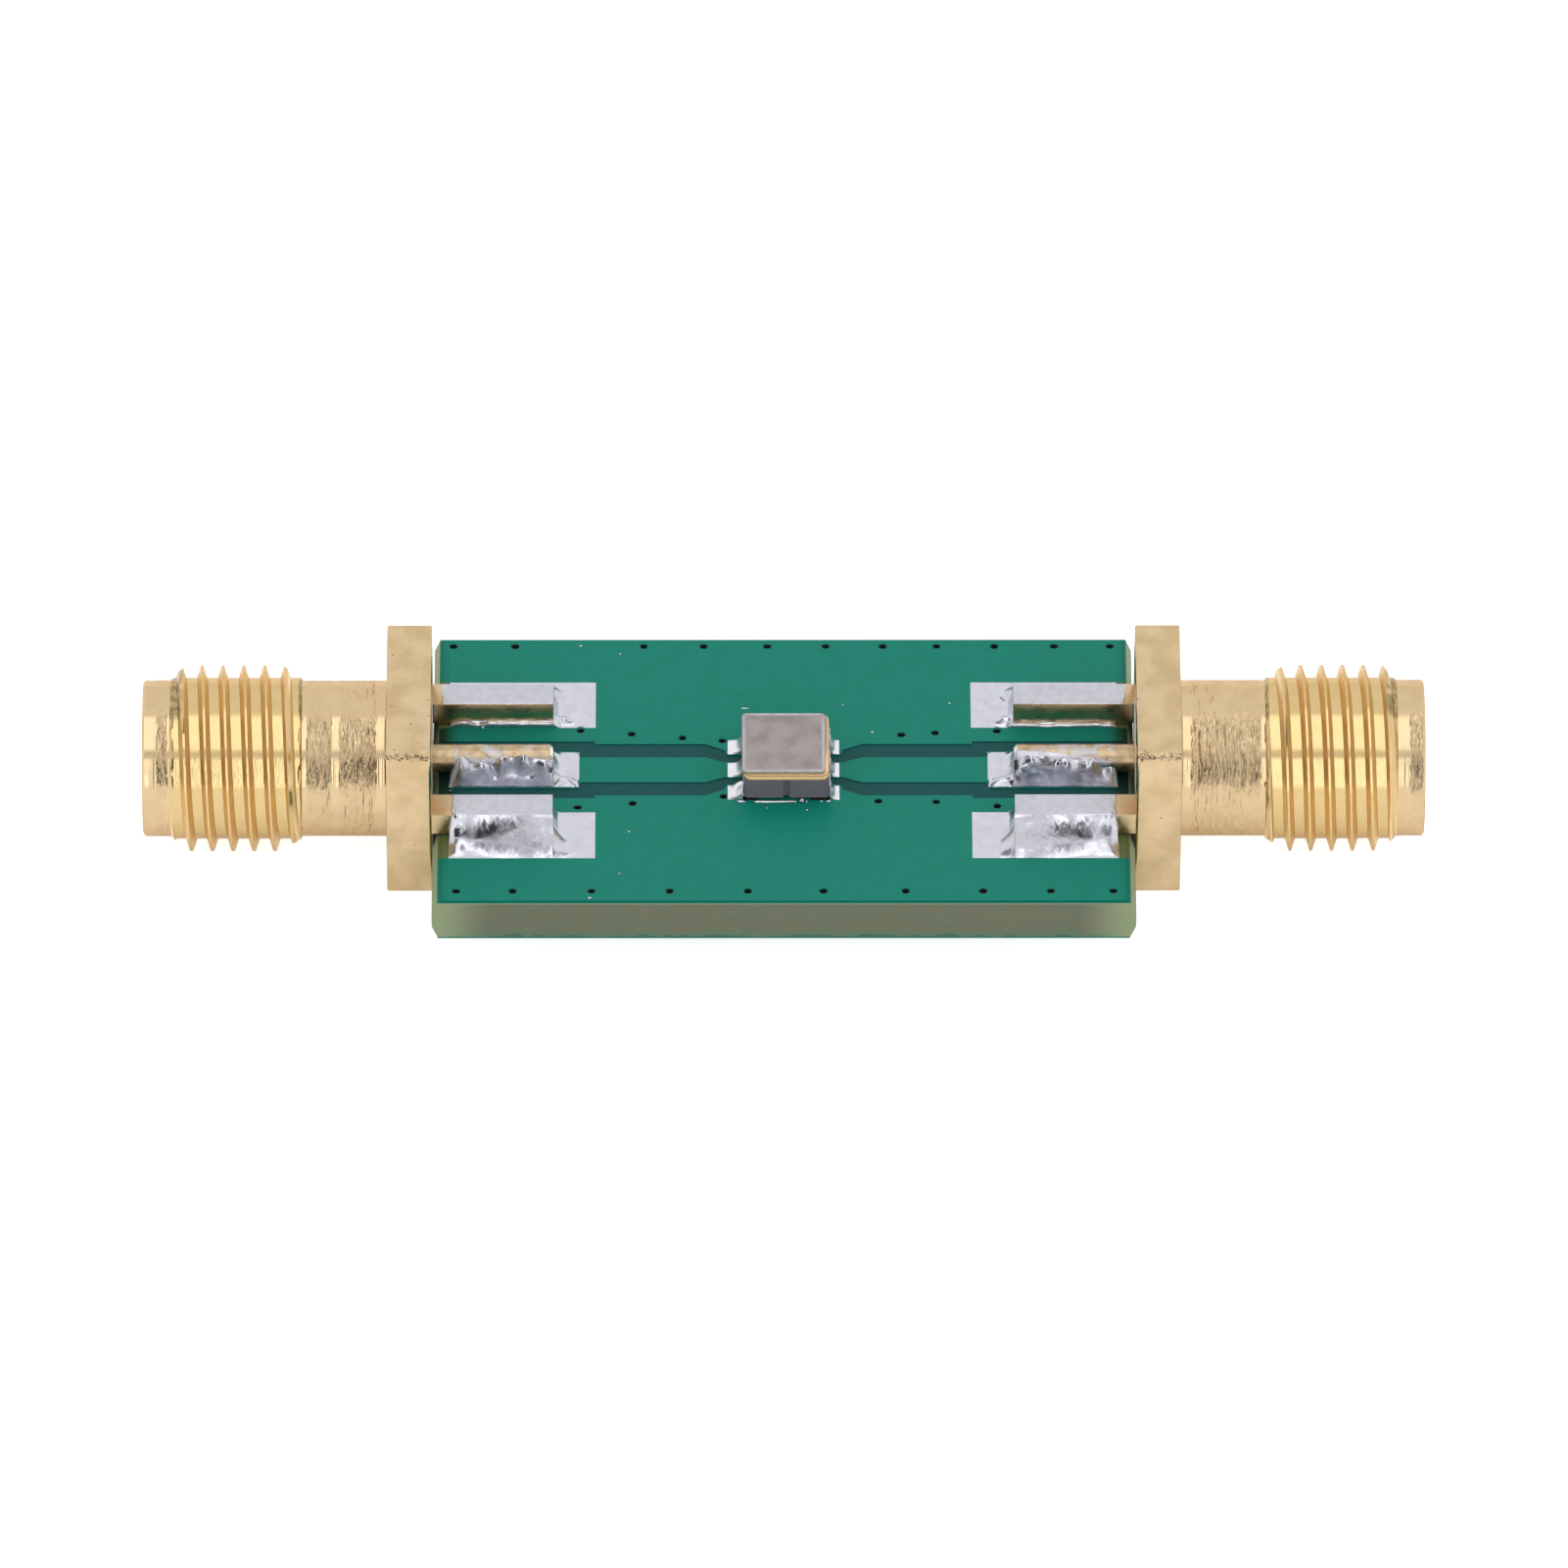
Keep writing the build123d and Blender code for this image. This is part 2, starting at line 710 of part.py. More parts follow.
body = jack_body()
insulator = jack_insulator()
contact = jack_contact()
pin_joint = tail_joint()
top_joint = leg_joint(land_top, 1, leg_gap_over)
bottom_joint = leg_joint(land_bottom, -1, leg_gap_under)
for sign_x in signs:
    side = side_names[sign_x]
    save(in_quarter(body, sign_x), f"{side}_jack_body")
    save(in_quarter(insulator, sign_x), f"{side}_jack_insulator")
    save(in_quarter(contact, sign_x), f"{side}_centre_contact")
    save(plate(trace_sketch(sign_x), laminate_top, land_top), f"{side}_signal_trace")
    save(in_quarter(pin_joint, sign_x), f"{side}_signal_solder")
    for sign_y in signs:
        row = row_names[sign_y]
        save(in_quarter(top_joint, sign_x, sign_y), f"{side}_{row}_top_solder")
        save(in_quarter(bottom_joint, sign_x, sign_y), f"{side}_{row}_bottom_solder")

save(circuit_board(), "circuit_board")
save(ground_copper(), "ground_copper")
save(top_solder_mask(), "top_solder_mask")
save(bottom_solder_mask(), "bottom_solder_mask")
save(filter_base(), "filter_base")
save(filter_terminals(), "filter_terminals")
save(seal_ring(), "filter_seal_ring")
save(filter_lid(), "filter_lid")
save(filter_crystal(), "filter_crystal")
save(filter_joints(), "filter_solder")
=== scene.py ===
import math
import random

import bmesh
import bpy
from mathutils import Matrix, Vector, noise


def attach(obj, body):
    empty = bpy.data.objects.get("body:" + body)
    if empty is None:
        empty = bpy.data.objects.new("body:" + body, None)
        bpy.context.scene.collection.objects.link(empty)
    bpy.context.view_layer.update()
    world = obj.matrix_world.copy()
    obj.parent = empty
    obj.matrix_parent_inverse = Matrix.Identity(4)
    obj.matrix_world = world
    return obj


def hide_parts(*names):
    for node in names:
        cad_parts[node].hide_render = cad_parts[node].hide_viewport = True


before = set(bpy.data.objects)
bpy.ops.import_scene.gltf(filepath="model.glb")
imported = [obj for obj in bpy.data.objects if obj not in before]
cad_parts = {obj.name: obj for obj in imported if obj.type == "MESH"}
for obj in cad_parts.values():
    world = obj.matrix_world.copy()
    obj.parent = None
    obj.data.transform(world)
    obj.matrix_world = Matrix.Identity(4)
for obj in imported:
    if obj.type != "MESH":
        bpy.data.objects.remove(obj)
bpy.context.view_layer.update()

# Looks of the radio frequency filter module. Sizes are in millimetres, in the frame of the solids:
# X from jack to jack, Y across the board and away from the camera, Z up. MM makes metres.
MM = 0.001
BODY = "root"
SIDES = {"left": -1, "right": 1}
ROWS = {"front": -1, "back": 1}

# Coaxial jack
AXIS_Z = 3.25
FLANGE_HALF = 3.25
FLANGE_CORNER = 0.25
FLANGE_BREAK = 0.05
FLANGE_INNER = 11.895
FLANGE_OUTER = 13.415
NECK_RADIUS = 2.64
NECK_ROOT = ((0.0, 2.68), (0.015, 2.65))
NECK_STEP = 0.055
NOSE_RADIUS = 2.65
THREAD_START = 16.265
THREAD_END = 20.73
THREAD_PITCH = 0.7056
THREAD_ROOT = 2.73
THREAD_CREST = 3.155
CHAMFER_SLOPE = 1.1
RUN_IN = 0.06
RUN_IN_SLOPE = 0.72
THREAD_PHASE = {"left": 18.71, "right": 18.82}
NECK_GROOVES = {"left": ((14.95, 0.004), (15.3, 0.004)), "right": ((13.9, 0.004), (15.6, 0.003))}
GROOVE_REACH = 0.04
RIPPLE = 0.004
RIPPLE_SEED = 11
# Columns where the left jack's cut is smooth on the neck and rough on the nose
NECK_COLUMN = 15.13
NOSE_COLUMN = 20.99
TIP_X = 21.665
NOSE_CHAMFER = 0.08
NOSE_STEP = 0.06
SOCKET_RADIUS = 2.31
SOCKET_CHAMFER = 0.1
SOCKET_FLOOR = 19.735
BORE_RADIUS = 2.05
LEG_TIP = 7.795
LEG_ROOT = 11.995
LEG_INNER = 2.17
LEG_OUTER = 3.17
LEG_BREAK = 0.035
UPPER_LEG = (2.755, 3.675)
LOWER_LEG = (0.08, 0.945)
SIDE_STEPS = 28
CORNER_STEPS = 8
WELD = 1e-5

# Centre contact
TAIL_RADIUS = 0.475
TAIL_CHAMFER = 0.12
CONTACT_RADIUS = 0.635
CONTACT_BORE = 0.47
CONTACT_NECK = 12.895
CONTACT_BORE_END = 16.835
CONTACT_BORE_CONE = 0.25
SLOT_DEPTH = 1.9
SLOT_WIDTH = 0.1

# Board faces and lands
MASK_TOP = 2.69
MASK_BOTTOM = 0.97
LAND_TOP = 2.665
LAND_BOTTOM = 0.995
LAND_X = (6.368, 11.327)
LAND_Y = (2.033, 4.247)
PAD_X = (6.918, 11.327)
PAD_HALF = 0.857
CHANNEL_HALF = 1.6
FILM = 0.04

# Plated holes
BACK_ROW = (-11.225, 22.36, 5.99)
BACK_SHARES = (0, 0.094, 0.194, 0.29, 0.381, 0.478, 0.567, 0.654, 0.736, 0.824, 0.915, 1)
FRONT_ROW = (-11.045, 22.14, -5.82)
FRONT_SHARES = (0, 0.086, 0.206, 0.325, 0.444, 0.559, 0.684, 0.802, 0.905, 1)
INNER_HOLES = ((-6.88, 1.89), (-5.15, 1.73), (-3.42, 1.54), (-2.07, 1.4), (4.0, 1.69), (5.15, 1.78),
               (7.25, 1.87), (-6.97, -1.81), (-5.11, -1.62), (-2.03, -1.28), (3.2, -1.51),
               (5.16, -1.55), (7.23, -1.75))
FILLED_HOLE = 2
HOLE_STEPS = 20
HOLE_SEED = 5
HOLE_MOUTH = 0.14
# A hole's lip and throat, and a filled one: radius, and height over the lacquer
HOLE_LIP = ((0.2, 0.0015), (0.165, 0.001), (0.148, -0.003), (0.13, -0.009), (0.11, -0.018), (0.1, -0.3))
HOLE_PLUG = ((0.2, 0.0015), (0.12, 0.004), (0.03, 0.006))

# Filter package
PACKAGE_X = 0.1
PACKAGE_SIZE = (2.9, 2.95)
RING_BOTTOM = 3.605
RING_TOP = 3.945
RING_MIDDLE = (RING_BOTTOM + RING_TOP) / 2
RING_INSET = 0.03
RING_WALL = 0.4
LID_PLACE = (0.0, -0.06)
LID_SIZE = (2.82, 2.85)
FRAME_CORNER = 0.25
LID_CORNER = 0.16
# The lid from its foot over the rim to the flat middle: inset, and height over the frame
LID_PROFILE = ((0.0, 0.0), (0.0, 0.07), (0.012, 0.1), (0.04, 0.121), (0.075, 0.125), (0.105, 0.119),
               (0.135, 0.106), (0.17, 0.1))
# One band of the frame: inset, and share of the band's height
ROUND_BAND = ((0.03, 0.0), (-0.005, 0.12), (-0.02, 0.35), (-0.014, 0.6), (0.008, 0.82))
TERMINAL_PITCH = 1.1
TERMINAL_THICK = 0.03
FILTER_LAND_END = 1.9
FILTER_LAND_HALF = 0.35

# Solder at the jacks: its thinnest film, how far in its edge and its end slope reach, its height in
# the middle of a tail, and how high and how far it runs past a leg
THINNEST = 0.012
LEG_EDGE = 0.22
LEG_TAPER = 0.32
TAIL_EDGE = 0.2
TAIL_TAPER = 0.5
TAIL_TOP = 0.55
END_RISE = 0.3
END_RUN = 0.26
END_RUN_BESIDE = 0.55
# Legs: top limit, rise at the outer side, the inner side and past the tip, hollowness at the tip
# and at the flange, lumps, and swellings (place, reach along and across, rise)
FRONT_LEG = (1.028, 0.985, 0.38, 0.8, (1.0, 4.2), 0.08)
LEG_SOLDER = {
    "left_front": (*FRONT_LEG, (
        ((11.05, 3.8), (0.26, 0.25), 0.08), ((7.8, 3.8), (0.8, 0.25), 0.05),
        ((11.05, 3.12), (0.16, 0.12), 0.12))),
    "right_front": (*FRONT_LEG, (
        ((10.9, 3.7), (0.4, 0.35), 0.08), ((7.8, 3.6), (0.8, 0.28), 0.04),
        ((11.05, 3.15), (0.16, 0.12), 0.12))),
    "left_back": (0.985, 0.82, 0.19, 0.3, (2.0, 1.7), 0.08, (((7.45, 2.36), (0.25, 0.17), 0.14),)),
    "right_back": (0.985, 0.82, 0.1, 0.3, (2.0, 1.7), 0.08, (((7.5, 2.34), (0.22, 0.16), 0.16),)),
    "under": (0.9, 0.85, 0.3, 0.3, (1.5, 1.8), 0.2, ()),
}
# Contact tails: rise in front and behind, the ridge past the tail, swellings, seed
TAIL_SOLDER = {
    "left": (0.86, 0.5, 0.27, (
        ((9.56, -0.52), (0.1, 0.09), 0.12), ((8.78, -0.48), (0.12, 0.08), 0.1),
        ((8.05, -0.56), (0.25, 0.13), 0.15), ((10.6, -0.6), (0.3, 0.12), 0.07)), 3),
    "right": (0.84, 0.5, 0.27, (
        ((9.42, -0.5), (0.12, 0.09), 0.12), ((8.4, -0.56), (0.35, 0.15), 0.13),
        ((10.45, -0.48), (0.16, 0.09), 0.12)), 5),
}

# Photograph: 1601 pixels square
PHOTO_PIXELS = 1601
FOCAL_PIXELS = 21632
SENSOR = 36.0
CAMERA_DISTANCE = 718.2
CAMERA_ELEVATION = 44.594
CAMERA_AZIMUTH = -0.303
CAMERA_ROLL = 0.19
CAMERA_TARGET = (0.02, 0.0, AXIS_Z - 1.24)
FLOOR_REACH = 3.0
FLOOR_DROP = 0.02

# Light of the tent's front opening: angles up from the front horizon, and places along X from -1
# to 1. Steps are how soft an edge is: the opening's low, high and side ones, the lens's and the strip's
OPENING_LOW = 1.0
OPENING_HIGH = 108.0
OPENING_MIDDLE = -0.12
OPENING_HALF = 0.54
OPENING_STEPS = (3.0, 5.0, 0.15)
LENS_ANGLE = 50.0
LENS_HALF = 6.0
LENS_STEPS = (4.0, 3.0)
STRIP_MIDDLE = 0.02
STRIP_HALF = (0.085, 0.2)
STRIP_STEP = 0.12
STRIP_LIGHT = (2.1, 1.65)
LENS_LIGHT = 0.85
GAP_LIGHT = (0.03, 0.28)
FLOOR_SEEN = 0.78
FLOOR_MIRRORED = 0.42


def srgb(red, green, blue):
    """Linear colour from the 0 to 255 values of a screen colour."""
    def linear(value):
        share = value / 255
        return share / 12.92 if share <= 0.04045 else ((share + 0.055) / 1.055) ** 2.4
    return (linear(red), linear(green), linear(blue), 1.0)


def clamped(value):
    return min(max(value, 0.0), 1.0)


def smooth_step(value):
    value = clamped(value)
    return value * value * (3 - 2 * value)


# Materials

class Values:
    """Arithmetic on the numbers of one node tree."""

    def __init__(self, tree):
        self.nodes, self.links = tree.nodes, tree.links

    def put(self, node_input, value):
        """A link or a plain value, whichever it is."""
        if isinstance(value, bpy.types.NodeSocket):
            self.links.new(value, node_input)
        else:
            node_input.default_value = value

    def add(self, kind, **values):
        """A node with values or links on the inputs named; an underscore stands for a space."""
        node = self.nodes.new("ShaderNode" + kind)
        for name, value in values.items():
            self.put(node.inputs[name.replace("_", " ")], value)
        return node

    def math(self, operation, first, second=0.0, clamp=False):
        node = self.add("Math")
        node.operation = operation
        node.use_clamp = clamp
        self.put(node.inputs[0], first)
        self.put(node.inputs[1], second)
        return node.outputs[0]

    def plus(self, first, second):
        return self.math("ADD", first, second)

    def minus(self, first, second):
        return self.math("SUBTRACT", first, second)

    def times(self, first, second):
        return self.math("MULTIPLY", first, second)

    def larger(self, first, second):
        return self.math("MAXIMUM", first, second)

    def away(self, value, place=None):
        """How far the value is from a place, or from zero, either way."""
        return self.math("ABSOLUTE", value if place is None else self.minus(value, place))


class Finish(Values):
    """A material with the few kinds of node that the finishes below share."""

    def __init__(self, name, color, roughness, metallic=0.0):
        self.material = bpy.data.materials.new(name)
        self.material.use_nodes = True
        super().__init__(self.material.node_tree)
        self.shader = self.nodes["Principled BSDF"]
        self.fix("Base Color", color)
        self.fix("Roughness", roughness)
        self.fix("Metallic", metallic)
        self.place = self.nodes.new("ShaderNodeTexCoord").outputs["Object"]
        self.axes = self.nodes.new("ShaderNodeSeparateXYZ")
        self.links.new(self.place, self.axes.inputs[0])

    def fix(self, name, value):
        """A constant on the shader's own socket."""
        self.shader.inputs[name].default_value = value

    def axis(self, index):
        """X, Y or Z of the surface in millimetres."""
        return self.math("MULTIPLY", self.axes.outputs[index], 1 / MM)

    def noise(self, size, detail=3.0, stretch=(1, 1, 1)):
        """Noise whose lumps are about size millimetres, longer along an axis with a large stretch."""
        scaled = self.add("Mapping", Vector=self.place, Scale=[1 / (size * MM * s) for s in stretch])
        return self.add("TexNoise", Vector=scaled.outputs[0], Scale=1.0, Detail=detail).outputs[0]

    def cells(self, size):
        """Distance from scattered points about size millimetres apart."""
        return self.add("TexVoronoi", Vector=self.place, Scale=1 / (size * MM)).outputs["Distance"]

    def span(self, value, low, high, start=0.0, end=1.0):
        """The value's place between low and high, as a number from start to end."""
        node = self.add("MapRange", Value=value, From_Min=low, From_Max=high, To_Min=start, To_Max=end)
        node.interpolation_type = "SMOOTHSTEP"
        return node.outputs["Result"]

    def blend(self, share, first, second):
        """Colour between two colours."""
        node = self.nodes.new("ShaderNodeMix")
        node.data_type = "RGBA"
        self.put(node.inputs["Factor"], share)
        self.put(node.inputs["A"], first)
        self.put(node.inputs["B"], second)
        return node.outputs["Result"]

    def patchy(self, size, detail, first, second):
        """Colour that drifts between two screen colours, in patches about size millimetres wide."""
        return self.blend(self.noise(size, detail), srgb(*first), srgb(*second))

    def color(self, value):
        self.links.new(value, self.shader.inputs["Base Color"])

    def roughness(self, value):
        self.links.new(value, self.shader.inputs["Roughness"])

    def bumps(self, *heights):
        """Bumps on one another, each a height and how many millimetres it is worth."""
        last = None
        for height, depth in heights:
            node = self.add("Bump", Distance=depth * MM, Strength=1.0, Height=height)
            if last:
                self.links.new(last, node.inputs["Normal"])
            last = node.outputs[0]
        self.links.new(last, self.shader.inputs["Normal"])


GOLD = srgb(213, 187, 147)
GOLD_EDGE = (0.8, 0.7, 0.6, 1.0)
TIN = srgb(214, 215, 223)
TIN_DARK = srgb(182, 181, 191)
MASK_ON_COPPER = srgb(12, 126, 108)
MASK_TONES = ((9, 121, 103), (16, 131, 113))
MASK_GLOSS = 0.15


def plain_gold():
    """Satin gold of the flange: faint mottling, and tiny dark pits."""
    f = Finish("gold_satin", GOLD, 0.28, 1.0)
    f.fix("Specular Tint", GOLD_EDGE)
    mottle = f.noise(0.9, 4.0)
    pits = f.span(f.cells(0.5), 0.04, 0.085)
    clean = f.blend(f.span(mottle, 0.3, 0.7), srgb(202, 176, 135), srgb(221, 195, 155))
    f.color(f.blend(pits, srgb(126, 96, 64), clean))
    f.roughness(f.span(mottle, 0.3, 0.7, 0.1, 0.15))
    # The rounded upper front edge is scuffed
    corner = f.times(f.span(f.axis(1), -FLANGE_HALF + 0.2, -FLANGE_HALF + 0.26, 1.0, 0.0),
                     f.span(f.axis(2), AXIS_Z + FLANGE_HALF - 0.26, AXIS_Z + FLANGE_HALF - 0.2))
    scuffs = f.times(f.minus(f.noise(0.16, 2.0), 0.5), corner)
    f.bumps((scuffs, 0.09), (f.noise(0.05, 2.0), 0.0008), (f.noise(0.35, 3.0), 0.003), (pits, 0.005))
    return f


def turned_gold():
    """Gold on the turned neck and nose: tool marks round the axis, broken into short dashes."""
    f = Finish("gold_turned", GOLD, 0.14, 1.0)
    f.fix("Specular Tint", GOLD_EDGE)
    marks = f.noise(0.17, 2.0, (1, 5, 5))
    rings = f.noise(0.05, 1.0, (1, 60, 60))
    patches = f.span(f.noise(0.9, 2.0, (1, 1.6, 1.6)), 0.36, 0.58, 0.75, 1.0)
    # The cut is smooth beside the flange, before the thread and in a few narrow columns
    across = f.axis(0)
    along = f.away(across)
    neck = f.times(f.span(along, FLANGE_OUTER + 0.3, FLANGE_OUTER + 0.4),
                   f.span(along, THREAD_START - 0.22, THREAD_START - 0.14, 1.0, 0.0))
    column = f.span(f.away(across, -NECK_COLUMN), 0.11, 0.17)
    left_nose = f.span(f.away(across, -NOSE_COLUMN), 0.13, 0.2, 1.0, 0.0)
    nose = f.larger(f.span(across, 21.12, 21.2), left_nose)
    rough = f.times(f.larger(f.times(neck, column), nose), patches)
    marks = f.times(f.minus(marks, 0.5), rough)
    f.color(f.patchy(0.6, 3.0, (206, 179, 138), (224, 199, 158)))
    f.roughness(f.plus(f.span(f.noise(0.3, 2.0), 0.3, 0.7, 0.1, 0.18), f.times(rough, 0.15)))
    f.bumps((marks, 0.13), (rings, 0.004))
    return f


def thread_tone(f, gold):
    """The thread's gold, darker on the upper side of its first and last turns."""
    along = f.away(f.axis(0))
    ends = f.larger(f.span(along, THREAD_END - 0.5, THREAD_END - 0.3),
                    f.span(along, THREAD_START + 0.08, THREAD_START + 0.16, 1.0, 0.0))
    darkened = f.times(ends, f.span(f.axis(1), -0.95, -0.6))
    darkened = f.times(darkened, f.span(f.noise(0.3, 3.0), 0.35, 0.6, 0.3, 0.85))
    return f.blend(darkened, gold, srgb(132, 117, 86))


def thread_gold():
    """Bright gold of the thread, a little yellower than the plain surfaces."""
    f = Finish("gold_thread", srgb(224, 195, 140), 0.15, 1.0)
    f.fix("Specular Tint", GOLD_EDGE)
    f.color(thread_tone(f, f.patchy(0.5, 3.0, (212, 182, 126), (224, 198, 146))))
    f.bumps((f.noise(0.07, 2.0, (1, 4, 4)), 0.003), (f.noise(0.5, 2.0), 0.006))
    return f


def flank_gold():
    """The thread's flanks: cut rougher than its roots and crests, so they carry less reflection, and
    painted light in a paler gold.
    """
    f = Finish("gold_flank", srgb(240, 212, 162), 0.44, 1.0)
    # Painted light: a paler gold than the thread's, against the shade between the turns
    f.color(thread_tone(f, f.patchy(0.4, 3.0, (234, 202, 148), (246, 222, 176))))
    f.bumps((f.noise(0.06, 2.0, (1, 5, 5)), 0.01))
    return f


def tinned(f, gold, share):
    """Colour, roughness and bump of gold with solder over it where share is 1."""
    tin = f.blend(f.noise(0.3, 4.0), TIN_DARK, TIN)
    f.color(f.blend(share, gold, tin))
    lumps = f.times(f.noise(0.25, 3.0), share)
    f.roughness(f.span(f.noise(0.4, 2.0), 0.3, 0.7, 0.24, 0.36))
    f.bumps((lumps, 0.022), (f.noise(0.05, 2.0), 0.0015))


def leg_gold():
    """The legs: bare gold at the flange and inside, tinned over the lands."""
    f = Finish("gold_tinned_legs", GOLD, 0.28, 1.0)
    along = f.away(f.axis(0))
    ragged = f.plus(along, f.times(f.noise(0.5, 3.0), 0.3))
    # The front legs stay bare for longer than the back ones
    ragged = f.minus(ragged, f.times(f.math("SIGN", f.axis(1)), 0.18))
    near = f.span(ragged, 11.5, 11.58, 1.0, 0.0)
    facing = f.nodes.new("ShaderNodeNewGeometry")
    normal = f.nodes.new("ShaderNodeSeparateXYZ")
    f.links.new(facing.outputs["Normal"], normal.inputs[0])
    # Only the back legs' inner sides stay gold
    wetted = f.larger(f.span(normal.outputs[1], -0.8, -0.5), f.span(f.axis(1), -0.1, 0.1, 1.0, 0.0))
    tinned(f, GOLD, f.times(near, wetted))
    return f


def contact_gold():
    """The centre contact: polished gold, with solder up its front near the tail's end, and a painted
    highlight on the chamfer at the tail's end.
    """
    f = Finish("gold_contact", srgb(214, 182, 132), 0.22, 1.0)
    along = f.away(f.axis(0))
    # How far down the front the gold stays bare: evenly on the left, more towards the right flange
    bare = f.larger(f.span(f.axis(0), -0.5, 0.5, 0.36, 0.0), f.span(f.axis(0), 7.8, 11.3, 0.08, 0.4))
    ragged = f.plus(f.axis(1), f.plus(bare, f.times(f.noise(0.35, 3.0), 0.16)))
    front = f.span(ragged, 0.05, 0.11, 1.0, 0.0)
    wetted = f.times(f.span(f.noise(0.4, 3.0), 0.42, 0.6, 0.0, 0.8), f.span(along, 7.9, 10.4, 0.3, 1.0))
    # Painted highlight: the chamfer at the tail's end is coloured near-white
    end = f.span(along, LEG_TIP + TAIL_CHAMFER - 0.03, LEG_TIP + TAIL_CHAMFER, 1.0, 0.0)
    soldered = f.times(f.larger(front, wetted), f.span(along, 11.0, 11.3, 1.0, 0.0))
    gold = f.blend(f.span(f.noise(0.3, 3.0), 0.3, 0.7), srgb(172, 148, 116), srgb(202, 178, 142))
    tinned(f, f.blend(end, gold, srgb(250, 246, 238)), soldered)
    return f


def solder():
    """Solder: bright on its slopes, with duller frosted patches."""
    f = Finish("solder_bright", TIN, 0.26, 1.0)
    frost = f.noise(0.45, 4.0)
    f.color(f.blend(frost, srgb(222, 223, 231), srgb(192, 192, 202)))
    f.roughness(f.span(frost, 0.35, 0.65, 0.13, 0.28))
    f.bumps((f.noise(0.4, 2.0), 0.018), (f.noise(0.06, 2.0), 0.0015))
    return f


def terminal_solder():
    """The filter's joints: painted light, in solder a little brighter than at the jacks."""
    f = Finish("solder_terminal", srgb(236, 237, 242), 0.3, 1.0)
    # Painted light: a brighter copy of the solder
    f.color(f.patchy(0.3, 3.0, (246, 247, 250), (222, 222, 230)))
    f.bumps((f.noise(0.2, 2.0), 0.008), (f.noise(0.05, 2.0), 0.001))
    return f


def solder_mask():
    """Green lacquer, lighter over copper than over the bare laminate in the channels."""
    f = Finish("lacquer_green", MASK_ON_COPPER, 0.4)
    f.fix("Specular IOR Level", MASK_GLOSS)
    height = f.axis(2)
    over_copper = f.larger(f.span(height, MASK_TOP - 0.028, MASK_TOP - 0.006),
                           f.span(height, MASK_BOTTOM + 0.028, MASK_BOTTOM + 0.006))
    in_channel = f.span(f.away(f.axis(1)), CHANNEL_HALF, CHANNEL_HALF + 0.05, 1.0, 0.0)
    bare = f.blend(in_channel, srgb(10, 116, 96), f.patchy(0.12, 3.0, (12, 72, 71), (17, 83, 82)))
    copper_tone = f.patchy(0.5, 5.0, *MASK_TONES)
    beyond = f.span(f.away(f.axis(0)), LAND_X[1] - 0.02, LAND_X[1] + 0.05, 0.0, 0.35)
    tone = f.blend(over_copper, bare, f.blend(beyond, copper_tone, srgb(8, 108, 90)))
    # Painted shade: darker between the legs beside the flange, where the flange and the pin shade the
    # lacquer
    along, across = f.away(f.axis(0)), f.away(f.axis(1))
    painted_shade = f.times(f.span(along, 10.9, 11.6, 0.0, 0.9), f.span(across, 1.95, 2.1, 1.0, 0.0))
    tone = f.blend(painted_shade, tone, srgb(22, 42, 24))
    # Thin over the laminate between the lands and the board's ends
    thin = f.times(f.span(along, LAND_X[1], LAND_X[1] + 0.03),
                   f.times(f.span(across, LAND_Y[0] - 0.02, LAND_Y[0] + 0.02),
                           f.span(across, LAND_Y[1] - 0.02, LAND_Y[1] + 0.02, 1.0, 0.0)))
    f.color(f.blend(thin, tone, srgb(96, 106, 64)))
    f.bumps((f.noise(0.35, 2.0), 0.003), (f.noise(0.05, 2.0), 0.0008))
    return f


def laminate():
    """Glass-fibre laminate: cut fibres in layers, paler towards its ends, greener at the bottom."""
    f = Finish("laminate", srgb(108, 116, 94), 0.6)
    fibres = f.noise(0.07, 3.0, (9, 9, 1))
    clouds = f.noise(0.7, 3.0, (1.6, 1.6, 0.7))
    tone = f.blend(fibres, srgb(88, 99, 76), srgb(118, 126, 102))
    tone = f.blend(f.span(clouds, 0.4, 0.65, 0.0, 0.6), tone, srgb(114, 110, 85))
    wavy = f.plus(f.axis(2), f.times(f.noise(0.45, 3.0, (1.3, 1.3, 1)), 0.5))
    tone = f.blend(f.span(wavy, 1.42, 1.6, 0.8, 0.0), tone, srgb(86, 122, 98))
    tone = f.blend(f.span(wavy, 1.3, 1.36, 0.7, 0.0), tone, srgb(48, 92, 72))
    tone = f.blend(f.span(f.axis(2), 2.54, 2.6, 0.0, 0.8), tone, srgb(128, 150, 122))
    ends = f.span(f.away(f.axis(0)), 9.8, 11.8, 0.0, 0.85)
    f.color(f.blend(ends, tone, srgb(150, 166, 126)))
    f.bumps((fibres, 0.008), (f.noise(0.08, 2.0), 0.004))
    return f


def copper():
    """Copper foil, a little browned."""
    f = Finish("copper_foil", srgb(196, 122, 86), 0.35, 1.0)
    f.color(f.patchy(0.4, 4.0, (176, 104, 72), (208, 136, 98)))
    f.bumps((f.noise(0.05, 3.0), 0.002))
    return f


def hole_lacquer():
    """Lacquer that has run into a plated hole: green at the rim, with painted shade dark inside."""
    f = Finish("lacquer_in_hole", MASK_ON_COPPER, 0.35)
    f.fix("Specular IOR Level", MASK_GLOSS)
    # Painted shade: below the rim the hole is coloured dark
    rim = f.span(f.axis(2), MASK_TOP - 0.016, MASK_TOP - 0.001)
    f.color(f.blend(rim, srgb(6, 22, 22), f.patchy(0.5, 5.0, *MASK_TONES)))
    return f


